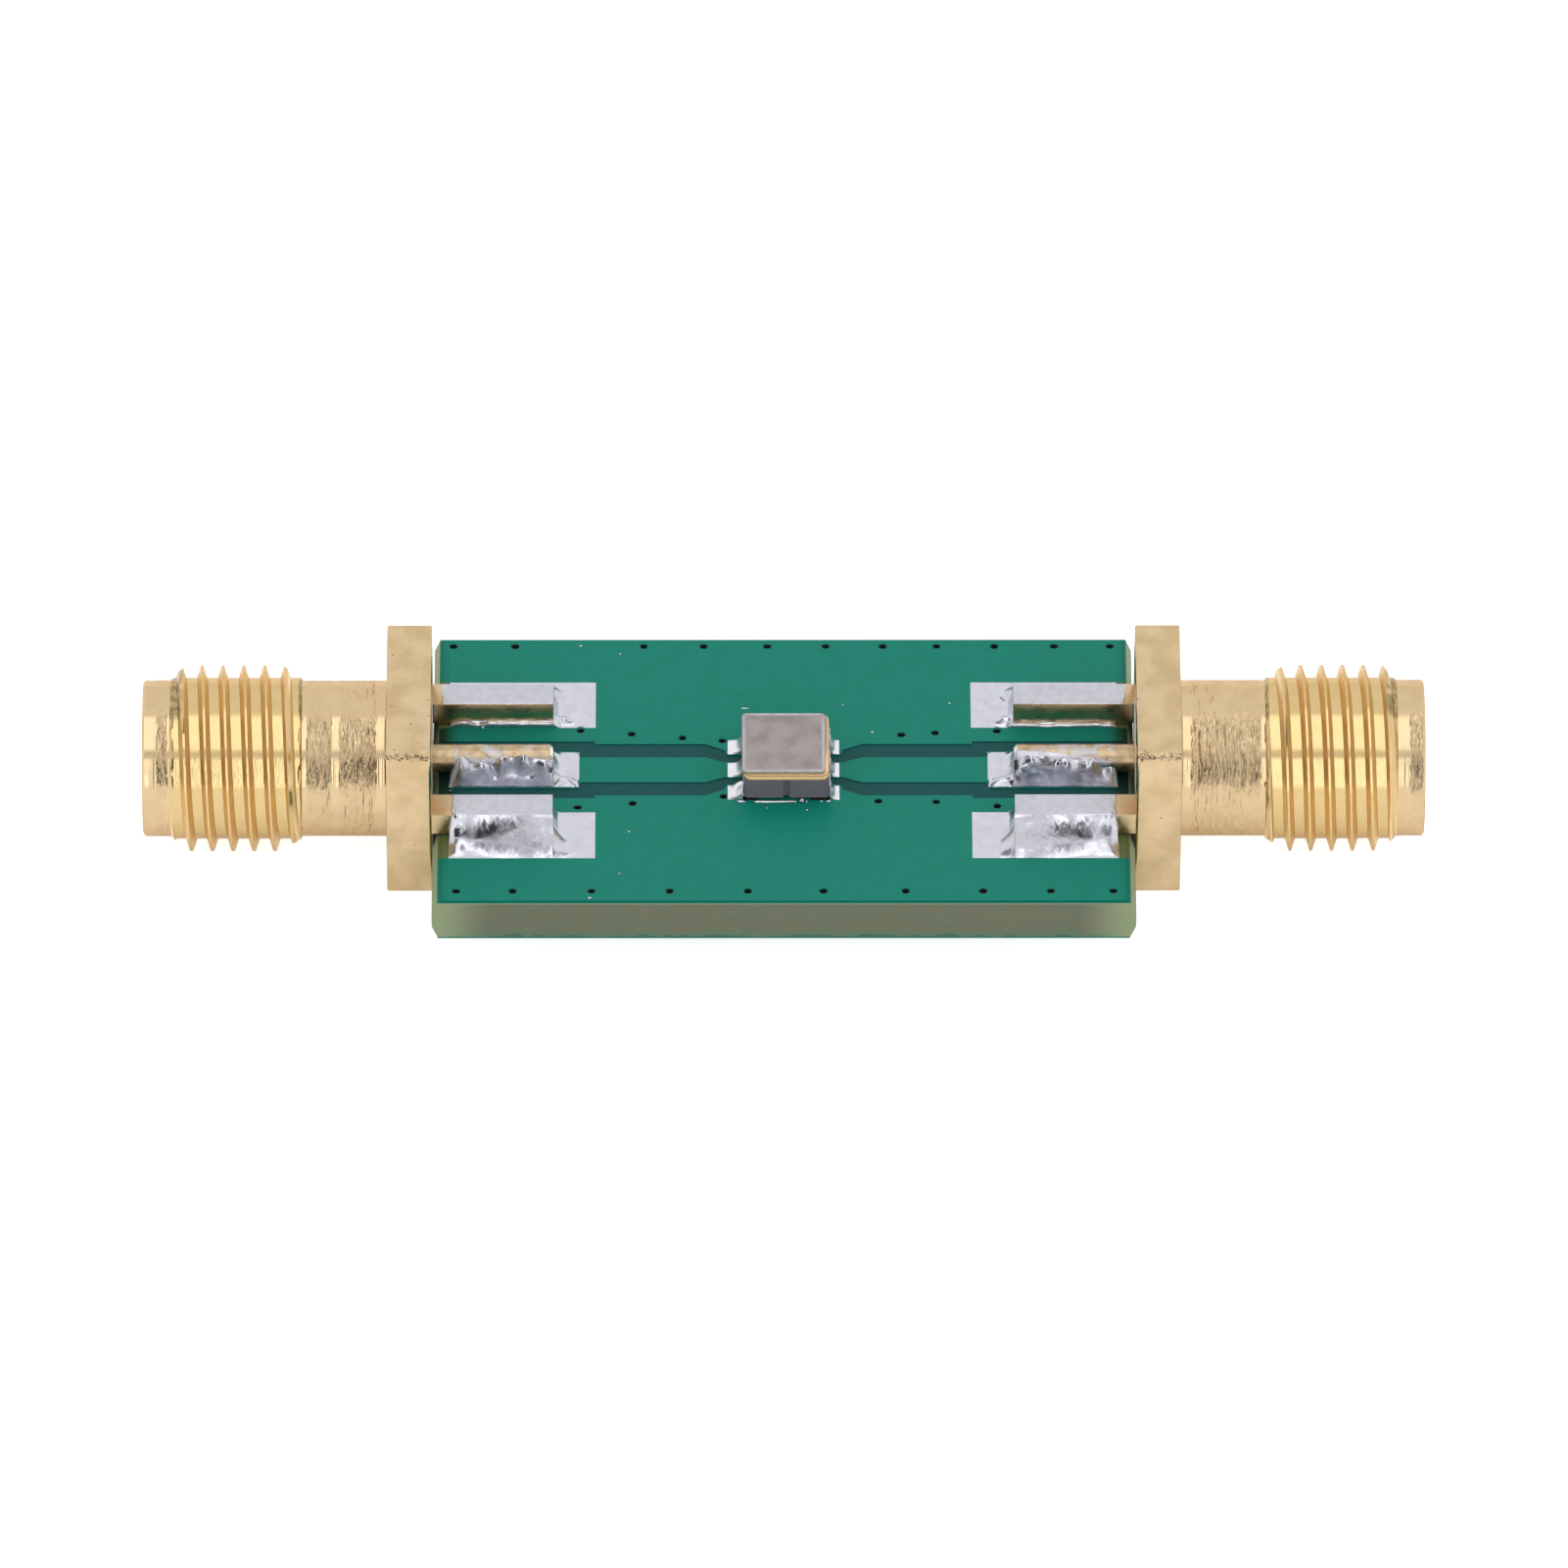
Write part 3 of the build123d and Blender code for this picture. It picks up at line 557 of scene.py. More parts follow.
def ceramic():
    """Dark fired ceramic, faintly speckled."""
    f = Finish("ceramic_dark", srgb(96, 93, 104), 0.42)
    body = f.patchy(0.06, 4.0, (102, 98, 108), (124, 120, 130))
    # Darker and redder towards its foot
    f.color(f.blend(f.span(f.axis(2), MASK_TOP + 0.1, MASK_TOP + 0.15, 0.7, 0.0), body, srgb(74, 26, 32)))
    f.bumps((f.noise(0.05, 3.0), 0.002), (f.noise(0.5, 2.0), 0.006))
    return f


def ring_gold():
    """The brazed frame: orange gold above the braze line, yellower below, and dull on its ledge."""
    f = Finish("gold_frame", srgb(250, 208, 146), 0.42, 0.15)
    height = f.axis(2)
    band = f.span(height, RING_MIDDLE - 0.015, RING_MIDDLE + 0.015)
    below = f.patchy(0.25, 3.0, (255, 208, 142), (255, 226, 172))
    above = f.patchy(0.25, 3.0, (255, 194, 140), (255, 212, 166))
    tone = f.blend(band, below, above)
    seam = f.span(f.away(height, RING_MIDDLE), 0.012, 0.028, 0.8, 0.0)
    tone = f.blend(seam, tone, srgb(160, 108, 60))
    ledge = f.times(f.span(height, RING_TOP - 0.012, RING_TOP - 0.003), f.span(f.axis(1), -1.1, 0.1))
    f.color(f.blend(ledge, tone, srgb(172, 154, 132)))
    f.bumps((f.noise(0.15, 3.0), 0.006))
    return f


def lid_metal():
    """Matte nickel of the lid: a paler welded rim, and orange gold low on its sides."""
    f = Finish("nickel_matte", srgb(160, 151, 151), 0.42, 1.0)
    clouds = f.noise(0.7, 5.0)
    face = f.blend(f.span(clouds, 0.32, 0.68), srgb(147, 138, 138), srgb(172, 163, 162))
    across = f.span(f.away(f.axis(0), LID_PLACE[0]), 1.25, 1.33)
    deep = f.span(f.away(f.axis(1), LID_PLACE[1]), 1.26, 1.34)
    rim = f.times(f.larger(across, deep), f.span(f.noise(0.5, 3.0), 0.3, 0.6, 0.45, 1.0))
    tone = f.blend(rim, face, srgb(190, 186, 186))
    gilt = f.patchy(0.25, 3.0, (226, 184, 136), (240, 208, 164))
    f.color(f.blend(f.span(f.axis(2), RING_TOP + 0.05, RING_TOP + 0.085), gilt, tone))
    f.roughness(f.span(clouds, 0.3, 0.7, 0.38, 0.5))
    f.bumps((f.noise(0.05, 3.0), 0.0025), (clouds, 0.008))
    return f


def dielectric():
    """White dielectric, slightly waxy."""
    f = Finish("dielectric_white", srgb(236, 234, 226), 0.5)
    f.fix("Subsurface Weight", 0.1)
    f.fix("Subsurface Scale", 0.2 * MM)
    f.color(f.patchy(0.6, 3.0, (230, 228, 219), (240, 239, 232)))
    f.bumps((f.noise(0.08, 2.0, (1, 8, 8)), 0.003))
    return f


def crystal():
    """The quartz chip inside the package."""
    f = Finish("crystal", srgb(205, 212, 208), 0.08)
    f.fix("Transmission Weight", 0.7)
    f.color(f.patchy(0.4, 3.0, (198, 206, 202), (214, 220, 216)))
    return f


# Mesh making

def make_object(name, mesh_data, finishes, replaced=()):
    """A mesh in millimetres made into a piece that rides on the frame."""
    bmesh.ops.scale(mesh_data, vec=(MM, MM, MM), verts=mesh_data.verts)
    mesh = bpy.data.meshes.new(name)
    mesh_data.to_mesh(mesh)
    mesh_data.free()
    for finish in finishes:
        mesh.materials.append(finish.material)
    piece = bpy.data.objects.new(name, mesh)
    bpy.context.scene.collection.objects.link(piece)
    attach(piece, BODY)
    if replaced:
        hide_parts(*replaced)


def soft_shade(mesh_data, degrees):
    """Smooth shading, but sharp along edges that turn more than the angle."""
    limit = math.radians(degrees)
    for face in mesh_data.faces:
        face.smooth = True
    for edge in mesh_data.edges:
        if len(edge.link_faces) == 2 and edge.calc_face_angle(0) > limit:
            edge.smooth = False


def finished(mesh_data, degrees):
    """The mesh with its faces turned outwards, shaded softly."""
    bmesh.ops.recalc_face_normals(mesh_data, faces=mesh_data.faces)
    soft_shade(mesh_data, degrees)
    return mesh_data


def bridge(mesh_data, first, second, material=0, closed=True):
    """Quads between two rows of vertices."""
    count = len(first)
    for index in range(count if closed else count - 1):
        after = (index + 1) % count
        face = mesh_data.faces.new((first[index], first[after], second[after], second[index]))
        face.material_index = material


def bridge_rows(mesh_data, rows, ends_meet=False):
    """Quads between each closed row and the next, and between the last and the first if they meet."""
    for first, second in zip(rows, rows[1:] + rows[:1] if ends_meet else rows[1:]):
        bridge(mesh_data, first, second)


def turned_vertex(mesh_data, x, radius, degrees):
    """A vertex at x, a radius and an angle about the jack's axis."""
    turn = math.radians(degrees)
    return mesh_data.verts.new((x, radius * math.cos(turn), AXIS_Z + radius * math.sin(turn)))


def swept(profile, steps, start=0.0, turn=360.0):
    """A closed outline of (x, radius) swept about the jack's axis, all round or part way."""
    data = bmesh.new()
    closed = turn >= 360
    rows = []
    for index in range(steps if closed else steps + 1):
        rows.append([turned_vertex(data, x, r, start + turn * index / steps) for x, r in profile])
    bridge_rows(data, rows, closed)
    if not closed:
        data.faces.new(rows[0])
        data.faces.new(rows[-1])
    bmesh.ops.remove_doubles(data, verts=data.verts, dist=WELD)
    bmesh.ops.recalc_face_normals(data, faces=data.faces)
    return data


def join_into(target, source):
    """Adds one mesh's faces to another."""
    made = {vert: target.verts.new(vert.co) for vert in source.verts}
    for face in source.faces:
        copy = target.faces.new([made[vert] for vert in face.verts])
        copy.material_index = face.material_index
        copy.smooth = face.smooth
    source.free()


def turn_to_side(data, sign):
    """The right side's mesh, turned half round for the left, so that threads stay right-handed."""
    if sign < 0:
        for vert in data.verts:
            vert.co.x, vert.co.y = -vert.co.x, -vert.co.y


def square_outline(inset):
    """The flange's outline as (y, z) about the axis, corners rounded."""
    half = FLANGE_HALF - inset
    corner = max(FLANGE_CORNER - inset, 0.05)
    flat = half - corner
    edge = math.atan2(flat, half)
    points = []
    for quarter in range(4):
        turn = math.radians(90 * quarter)
        cos, sin = math.cos(turn), math.sin(turn)
        local = [(half, half * math.tan(edge * (2 * i / SIDE_STEPS - 1))) for i in range(SIDE_STEPS)]
        for i in range(CORNER_STEPS):
            angle = math.radians(90 * i / CORNER_STEPS)
            local.append((flat + corner * math.cos(angle), flat + corner * math.sin(angle)))
        points += [(y * cos - z * sin, y * sin + z * cos) for y, z in local]
    return points


def ring_angles():
    """Angles of the outline's points about the axis, rising all the way round."""
    angles = []
    for y, z in square_outline(0.0):
        angle = math.degrees(math.atan2(z, y))
        while angles and angle < angles[-1]:
            angle += 360
        angles.append(angle)
    return angles


# Thread form over one pitch: place as a share of the pitch from a crest, and height
THREAD_HALF = ((0.05, 1.0), (0.075, 0.95), (0.11, 0.77), (0.185, 0.32), (0.235, 0.1), (0.26, 0.0))
THREAD_FORM = ([(-0.5, 0.0), (-0.42, 0.0), (-0.34, 0.0)]
               + [(-place, height) for place, height in reversed(THREAD_HALF)]
               + list(THREAD_HALF) + [(0.34, 0.0), (0.42, 0.0)])


def thread_radius(x, height):
    """Radius of the thread at x, run out to the neck and chamfered towards the nose."""
    radius = THREAD_ROOT + (THREAD_CREST - THREAD_ROOT) * height
    radius = min(radius, NOSE_RADIUS + CHAMFER_SLOPE * (THREAD_END - x))
    radius = min(radius, THREAD_ROOT + 0.02 + RUN_IN_SLOPE * max(x - THREAD_START - 0.1, 0.0))
    start = smooth_step((x - THREAD_START) / RUN_IN)
    return NECK_RADIUS + (radius - NECK_RADIUS) * start


def neck_rings(ripple, grooves):
    """Rings (x, radius) from the flange's root along the neck, with shallow turned grooves."""
    rings = [(FLANGE_OUTER + step, radius) for step, radius in NECK_ROOT]
    rings += [(FLANGE_OUTER + step, NECK_RADIUS) for step in (0.04, 0.06, 0.36)]
    x = FLANGE_OUTER + 0.42
    while x < THREAD_START - 0.12:
        cut = sum(depth * math.exp(-((x - place) / GROOVE_REACH) ** 2) for place, depth in grooves)
        rings.append((x, NECK_RADIUS - cut - ripple.uniform(0.0, RIPPLE)))
        x += NECK_STEP
    rings.append((THREAD_START - 0.06, NECK_RADIUS))
    return rings


def nose_rings(ripple):
    """Rings from the thread's chamfer to the mouth, and back along the socket to its floor."""
    rings = []
    x = THREAD_END + 0.05
    while x < TIP_X - NOSE_CHAMFER - NOSE_STEP:
        rings.append((x, NOSE_RADIUS - ripple.uniform(0.0, RIPPLE)))
        x += NOSE_STEP
    rings += [
        (TIP_X - NOSE_CHAMFER, NOSE_RADIUS),
        (TIP_X - 0.02, NOSE_RADIUS - NOSE_CHAMFER + 0.02),
        (TIP_X, NOSE_RADIUS - NOSE_CHAMFER - 0.01),
        (TIP_X, SOCKET_RADIUS + SOCKET_CHAMFER),
        (TIP_X - SOCKET_CHAMFER, SOCKET_RADIUS),
        (SOCKET_FLOOR + 0.02, SOCKET_RADIUS),
        (SOCKET_FLOOR, SOCKET_RADIUS - 0.02),
        (SOCKET_FLOOR, BORE_RADIUS),
    ]
    return rings


def jack_mesh(phase, grooves, seed):
    """Flange, neck, thread, nose and socket as one closed skin, ring after ring."""
    ripple = random.Random(seed)
    data = bmesh.new()
    angles = ring_angles()
    satin, turned, thread, flank = range(4)

    def circle(x, radius):
        return [turned_vertex(data, x, radius, angle) for angle in angles]

    # Flange, from its hole inside round its edges to the neck's root
    inner = circle(FLANGE_INNER, BORE_RADIUS)
    last = inner
    mid = FLANGE_BREAK * 0.3
    edges = [(FLANGE_INNER, FLANGE_BREAK), (FLANGE_INNER + mid, mid), (FLANGE_INNER + FLANGE_BREAK, 0.0),
             (FLANGE_INNER + FLANGE_BREAK + 0.02, 0.0), (FLANGE_OUTER - FLANGE_BREAK - 0.02, 0.0),
             (FLANGE_OUTER - FLANGE_BREAK, 0.0), (FLANGE_OUTER - mid, mid), (FLANGE_OUTER, FLANGE_BREAK)]
    for x, inset in edges:
        row = [data.verts.new((x, y, AXIS_Z + z)) for y, z in square_outline(inset)]
        bridge(data, last, row, satin)
        last = row
    for x, radius in neck_rings(ripple, grooves):
        row = circle(x, radius)
        bridge(data, last, row, satin if x == FLANGE_OUTER else turned)
        last = row
    row = circle(THREAD_START, NECK_RADIUS)
    bridge(data, last, row, turned)

    # Thread: rows that follow the helix, held within its two ends, where they close up
    count = len(THREAD_FORM)
    heights = [height for place, height in THREAD_FORM]
    pairs = [(heights[i], heights[(i + 1) % count]) for i in range(count)]
    kinds = [thread if max(pair) < 0.15 or min(pair) > 0.9 else flank for pair in pairs]
    first_turn = math.floor((THREAD_START - phase) / THREAD_PITCH) - 3
    turns = math.ceil((THREAD_END - THREAD_START) / THREAD_PITCH) + 6
    rows = []
    for index in range(turns * count):
        place, height = THREAD_FORM[index % count]
        row = []
        for angle in angles:
            x = phase + THREAD_PITCH * (first_turn + index // count + place + angle / 360)
            x = min(max(x, THREAD_START), THREAD_END)
            row.append(turned_vertex(data, x, thread_radius(x, height), angle))
        rows.append(row)
    for index in range(len(rows) - 1):
        bridge(data, rows[index], rows[index + 1], kinds[index % count], closed=False)
        if index + count + 1 < len(rows):
            face = data.faces.new((rows[index][-1], rows[index + count][0],
                                   rows[index + count + 1][0], rows[index + 1][-1]))
            face.material_index = kinds[index % count]

    last = circle(THREAD_END, thread_radius(THREAD_END, 0))
    for x, radius in nose_rings(ripple):
        row = circle(x, radius)
        bridge(data, last, row, turned)
        last = row
    bridge(data, last, inner, turned)
    bmesh.ops.remove_doubles(data, verts=data.verts, dist=WELD)
    bmesh.ops.dissolve_degenerate(data, edges=data.edges, dist=WELD)
    loose = [vert for vert in data.verts if not vert.link_faces]
    bmesh.ops.delete(data, geom=loose, context="VERTS")
    return finished(data, 40)


def rounded_box(low, high, break_size):
    """A box with its edges broken."""
    data = bmesh.new()
    bmesh.ops.create_cube(data, size=1.0)
    for vert in data.verts:
        vert.co = Vector([(a + b) / 2 + c * (b - a) for a, b, c in zip(low, high, vert.co)])
    bmesh.ops.bevel(data, geom=data.edges[:], offset=break_size, segments=3, profile=0.5, affect="EDGES")
    return data


def legs_mesh():
    """The four legs of one jack, over and under the board."""
    data = bmesh.new()
    for side in (-1, 1):
        near, far = sorted((side * LEG_INNER, side * LEG_OUTER))
        for bottom, top in (UPPER_LEG, LOWER_LEG):
            join_into(data, rounded_box((LEG_TIP, near, bottom), (LEG_ROOT, far, top), LEG_BREAK))
    soft_shade(data, 30)
    return data


def contact_mesh():
    """Centre contact: a tail, a body with a bore, and four spring fingers between slots."""
    slot_floor = SOCKET_FLOOR - SLOT_DEPTH
    body = [
        (LEG_TIP, 0.0), (LEG_TIP, TAIL_RADIUS - TAIL_CHAMFER), (LEG_TIP + TAIL_CHAMFER, TAIL_RADIUS),
        (CONTACT_NECK, TAIL_RADIUS), (CONTACT_NECK, CONTACT_RADIUS), (slot_floor, CONTACT_RADIUS),
        (slot_floor, CONTACT_BORE), (CONTACT_BORE_END, CONTACT_BORE),
        (CONTACT_BORE_END - CONTACT_BORE_CONE, 0.0),
    ]
    data = swept(body, 64)
    finger = [
        (slot_floor, CONTACT_BORE), (slot_floor, CONTACT_RADIUS), (SOCKET_FLOOR - 0.03, CONTACT_RADIUS),
        (SOCKET_FLOOR, CONTACT_RADIUS - 0.03), (SOCKET_FLOOR, CONTACT_BORE + 0.1),
        (SOCKET_FLOOR - 0.1, CONTACT_BORE),
    ]
    gap = math.degrees(SLOT_WIDTH / CONTACT_RADIUS)
    for quarter in range(4):
        join_into(data, swept(finger, 14, 45 + 90 * quarter + gap / 2, 90 - gap))
    soft_shade(data, 35)
    return data


def spread(low, high, step, extra=()):
    """Grid places from low to high about a step apart, with some more between."""
    count = max(int(round((high - low) / step)), 1)
    places = [low + (high - low) * index / count for index in range(count + 1)]
    return sorted(set(places + [value for value in extra if low < value < high]))


def placer(sign_x, sign_y=1, face=LAND_TOP, up=1, shift=0.0):
    """Takes a lump's u, v and height to a place on the board, mirrored as the signs say."""
    def place(u, v, z):
        return (sign_x * u, shift + sign_y * v, face + up * z)
    return place


def mound(us, vs, height, place):
    """A closed lump over a flat face: height above the face at each grid point, then placed."""
    data = bmesh.new()
    top = [[data.verts.new(place(u, v, height(u, v))) for v in vs] for u in us]
    base = [[data.verts.new(place(u, v, 0.0)) for v in vs] for u in us]
    for i in range(len(us) - 1):
        bridge(data, top[i], top[i + 1], closed=False)
        bridge(data, base[i + 1], base[i], closed=False)
    for j in (0, len(vs) - 1):
        bridge(data, [row[j] for row in top], [row[j] for row in base], closed=False)
    for i in (0, len(us) - 1):
        bridge(data, top[i], base[i], closed=False)
    return finished(data, 60)


def swell(u, v, place, reach, rise):
    """A rounded swelling about a place, reach millimetres along and across."""
    return rise * math.exp(-((u - place[0]) / reach[0]) ** 2 - ((v - place[1]) / reach[1]) ** 2)


def edge_share(inside, reach):
    """0 at the land's edge and 1 well inside it."""
    return clamped(min(inside) / reach)


def covered(u, v, across, lumps, edge, swells):
    """The solder's height with the film under it, and lumps and swellings on it."""
    more = sum(swell(u, v, *each) for each in swells) * edge
    return max(FILM * (0.4 + 0.8 * edge) + across + lumps * edge * (0.1 + across) + more, THINNEST)


def leg_fillet(seed, top, rise, inner_rise, end_rise, power, lumps, swells):
    """Height of the solder at a leg: u along the leg towards the flange, v across, away from the pin."""
    shift = Vector((seed * 7.3, seed * 3.1, seed * 5.7))

    def height(u, v):
        outer = (v - LEG_OUTER) / (LAND_Y[1] - LEG_OUTER)
        inner = (LEG_INNER - v) / (LEG_INNER - LAND_Y[0])
        along = clamped((u - LEG_TIP - 0.3) / 3.1) ** 2
        if outer > 0:
            across = rise * (1 - outer) ** (power[0] + (power[1] - power[0]) * along)
        elif inner > 0:
            # A low bead with a steep front
            wave = 1 + 0.5 * noise.noise(Vector((u * 2.2, 0.0, 0.0)) + shift)
            across = inner_rise * wave * math.sqrt(max(1 - inner ** 8, 0.0))
        else:
            across = inner_rise + (rise - inner_rise) * (v - LEG_INNER) / (LEG_OUTER - LEG_INNER)
        if u < LEG_TIP:
            beside = smooth_step(outer / 0.35)
            run = END_RUN + (END_RUN_BESIDE - END_RUN) * beside
            limit = END_RISE + (end_rise - END_RISE) * beside
            across = min(across, limit) * max(1 - (LEG_TIP - u) / run, 0.0) ** (1.7 - 0.5 * beside)
        taper = max((u - (LAND_X[1] - LEG_TAPER)) / LEG_TAPER, 0.0)
        across *= 0.12 + 0.88 * math.sqrt(max(1 - taper * taper, 0.0))
        edge = edge_share((LAND_Y[1] - v, v - LAND_Y[0], u - LAND_X[0], LAND_X[1] - u), LEG_EDGE)
        bump = lumps * noise.noise(Vector((u * 0.7, v * 1.2, 0.0)) + shift)
        return min(covered(u, v, across, bump, edge, swells), top)
    return height


def tail_fillet(front_rise, back_rise, ridge, swells, seed):
    """Height of the solder at the contact's tail: u towards the flange, v across, front below zero."""
    shift = Vector((seed * 2.9, seed * 6.1, seed * 1.3))

    def height(u, v):
        rise, hold = (front_rise, 0.38) if v < 0 else (back_rise, 0.45)
        share = (abs(v) - hold) / (PAD_HALF - hold)
        if share > 0:
            across = rise * (1 - share) ** 1.15 * (1 + 0.45 * share)
        else:
            across = TAIL_TOP + (rise - TAIL_TOP) * (abs(v) / hold) ** 2
        if u < LEG_TIP:
            past = (LEG_TIP - u) / (LEG_TIP - PAD_X[0])
            slope = min(across, 0.3) * max(1 - past * 2.5, 0.0) ** 1.5
            # A ridge of solder runs on past the tail, along the pad's front edge
            bank = ridge * (1 - past) ** 0.6 * math.exp(-((v + 0.56 + 0.14 * past) / 0.21) ** 2)
            across = (slope ** 3 + bank ** 3) ** (1 / 3)
        taper = max((u - (PAD_X[1] - TAIL_TAPER)) / TAIL_TAPER, 0.0)
        across *= 0.08 + 0.92 * math.sqrt(max(1 - taper * taper, 0.0))
        edge = edge_share((PAD_HALF - abs(v), u - PAD_X[0], PAD_X[1] - u), TAIL_EDGE)
        strength = 0.36 if u > LEG_TIP else 0.12
        bump = strength * noise.noise(Vector((u * 1.9, v * 2.8, 0.0)) + shift)
        return covered(u, v, across, bump, edge, swells)
    return height


def stadium(center, length, width, height, steps=10):
    """A small solder bead lying on the board: round ends and a domed top."""
    data = bmesh.new()
    half = max(length / 2 - width / 2, 0.0)
    rows = []
    for level in range(4):
        lift = level / 3 * math.pi / 2
        reach = width / 2 * math.cos(lift)
        row = []
        for index in range(2 * steps):
            angle = math.pi * index / steps
            x = reach * math.cos(angle) + (half if math.cos(angle) > 0 else -half)
            row.append(data.verts.new((center[0] + x, center[1] + reach * math.sin(angle),
                                       center[2] + height * math.sin(lift))))
        rows.append(row)
    bridge_rows(data, rows)
    data.faces.new(rows[0])
    bmesh.ops.remove_doubles(data, verts=data.verts, dist=WELD)
    top = [vert for vert in data.verts if abs(vert.co.z - center[2] - height) < 1e-4]
    if len(top) > 2:
        bmesh.ops.contextual_create(data, geom=top)
    bmesh.ops.recalc_face_normals(data, faces=data.faces)
    for face in data.faces:
        face.smooth = True
    return data


def rounded_ring(data, place, size, inset, corner, z, steps=8):
    """Vertices round a rectangle with rounded corners."""
    half_x, half_y = size[0] / 2 - inset, size[1] / 2 - inset
    radius = max(corner - inset, 0.03)
    row = []
    for quarter, (sx, sy) in enumerate(((1, 1), (-1, 1), (-1, -1), (1, -1))):
        for index in range(steps + 1):
            angle = math.radians(90 * quarter + 90 * index / steps)
            row.append(data.verts.new((place[0] + sx * (half_x - radius) + radius * math.cos(angle),
                                       place[1] + sy * (half_y - radius) + radius * math.sin(angle), z)))
    return row


def lid_mesh():
    """The lid: a rounded outer edge, a low welded rim and a flat middle."""
    data = bmesh.new()
    rows = [rounded_ring(data, LID_PLACE, LID_SIZE, inset, LID_CORNER, RING_TOP + z)
            for inset, z in LID_PROFILE]
    bridge_rows(data, rows)
    data.faces.new(rows[0])
    data.faces.new(rows[-1])
    return finished(data, 50)


def frame_mesh():
    """The brazed frame between tub and lid, with the braze line as a groove round it."""
    data = bmesh.new()
    height = RING_TOP - RING_BOTTOM
    band = height / 2
    profile = [(inset, (level + share) * band) for level in (0, 1) for inset, share in ROUND_BAND]
    profile += [(0.04, height), (RING_WALL, height), (RING_WALL, 0.0)]
    size = tuple(side - 2 * RING_INSET for side in PACKAGE_SIZE)
    rows = [rounded_ring(data, (PACKAGE_X, 0.0), size, inset, FRAME_CORNER, RING_BOTTOM + z)
            for inset, z in profile]
    bridge_rows(data, rows, True)
    return finished(data, 50)


def terminal_fillet(face, middle, full):
    """Height of the solder up a terminal: a hollow slope, or a fuller lump."""
    rise, power = (0.42, 1.3) if full else (0.48, 3.0)

    def height(u, v):
        share = (u - face) / (FILTER_LAND_END - face)
        side = math.sqrt(max(1 - (v / FILTER_LAND_HALF) ** 4, 0.0))
        bump = 0.12 * noise.noise(Vector((u * 4, v * 5, middle))) * (1 - share) * full
        return max(0.02 + (rise * (1 - share) ** power + bump) * side, 0.01)
    return height


def terminal_fillets():
    """Solder up the six terminals, fuller at the front left one."""
    data = bmesh.new()
    for sign in (-1, 1):
        face = PACKAGE_SIZE[0] / 2 + sign * PACKAGE_X + TERMINAL_THICK - 0.005
        for index in (-1, 0, 1):
            middle = index * TERMINAL_PITCH
            join_into(data, mound(spread(face, FILTER_LAND_END, 0.03),
                                  spread(-FILTER_LAND_HALF, FILTER_LAND_HALF, 0.04),
                                  terminal_fillet(face, middle, sign < 0 and index < 0),
                                  placer(sign, shift=middle)))
    return data


def hole_places():
    """Middles of all the plated holes."""
    edges = []
    for (start, run, y), shares in ((BACK_ROW, BACK_SHARES), (FRONT_ROW, FRONT_SHARES)):
        edges += [(start + share * run, y) for share in shares]
    return edges + list(INNER_HOLES)


def hole_mesh():
    """The lacquered lip and the throat of each plated hole, which its material darkens as painted shade."""
    data = bmesh.new()
    shapes = random.Random(HOLE_SEED)
    for index, (x, y) in enumerate(hole_places()):
        wide, deep = shapes.uniform(1.0, 1.2), shapes.uniform(0.72, 0.9)
        rows = []
        for radius, depth in (HOLE_PLUG if index == FILLED_HOLE else HOLE_LIP):
            # The lacquer's opening is a little wider than deep, and no two are alike
            stretch = (wide, deep) if radius < HOLE_MOUTH else (1.0, 1.0)
            rows.append([data.verts.new((x + stretch[0] * radius * math.cos(2 * math.pi * i / HOLE_STEPS),
                                         y + stretch[1] * radius * math.sin(2 * math.pi * i / HOLE_STEPS),
                                         MASK_TOP + depth))
                         for i in range(HOLE_STEPS)])
        bridge_rows(data, rows)
        data.faces.new(rows[-1])
    for face in data.faces:
        face.normal_update()
        if face.normal.z < 0:
            face.normal_flip()
        face.smooth = True
    return data


# Beads and specks of solder and flux: x, y, length along X, width, height
BEADS = (
    (-1.42, -1.55, 0.3, 0.13, 0.06), (-0.28, -1.55, 1.46, 0.13, 0.06), (0.62, -1.545, 0.2, 0.2, 0.16),
    (0.78, -1.55, 0.1, 0.08, 0.05), (1.28, -1.53, 0.12, 0.08, 0.04), (1.515, -1.53, 0.17, 0.1, 0.05),
    (-1.3, 2.97, 0.26, 0.05, 0.015), (-0.56, -1.85, 0.08, 0.08, 0.04), (0.79, -1.95, 0.1, 0.08, 0.04),
    (2.03, 3.13, 0.07, 0.07, 0.03), (3.02, 1.8, 0.11, 0.11, 0.05), (5.65, 3.2, 0.09, 0.09, 0.04),
    (-5.54, 5.6, 0.08, 0.08, 0.04), (-5.23, -3.0, 0.1, 0.1, 0.05), (-5.55, -5.0, 0.08, 0.08, 0.04),
    (-6.55, -6.16, 0.14, 0.08, 0.04), (-6.89, 5.99, 0.11, 0.09, 0.05), (-10.2, 1.99, 0.12, 0.07, 0.08),
    (-11.28, -1.02, 0.07, 0.07, 0.04),
)


def bead_mesh():
    """All the small beads on the board."""
    data = bmesh.new()
    for x, y, length, width, height in BEADS:
        join_into(data, stadium((x, y, MASK_TOP), length, width, height))
    return data


# Pieces

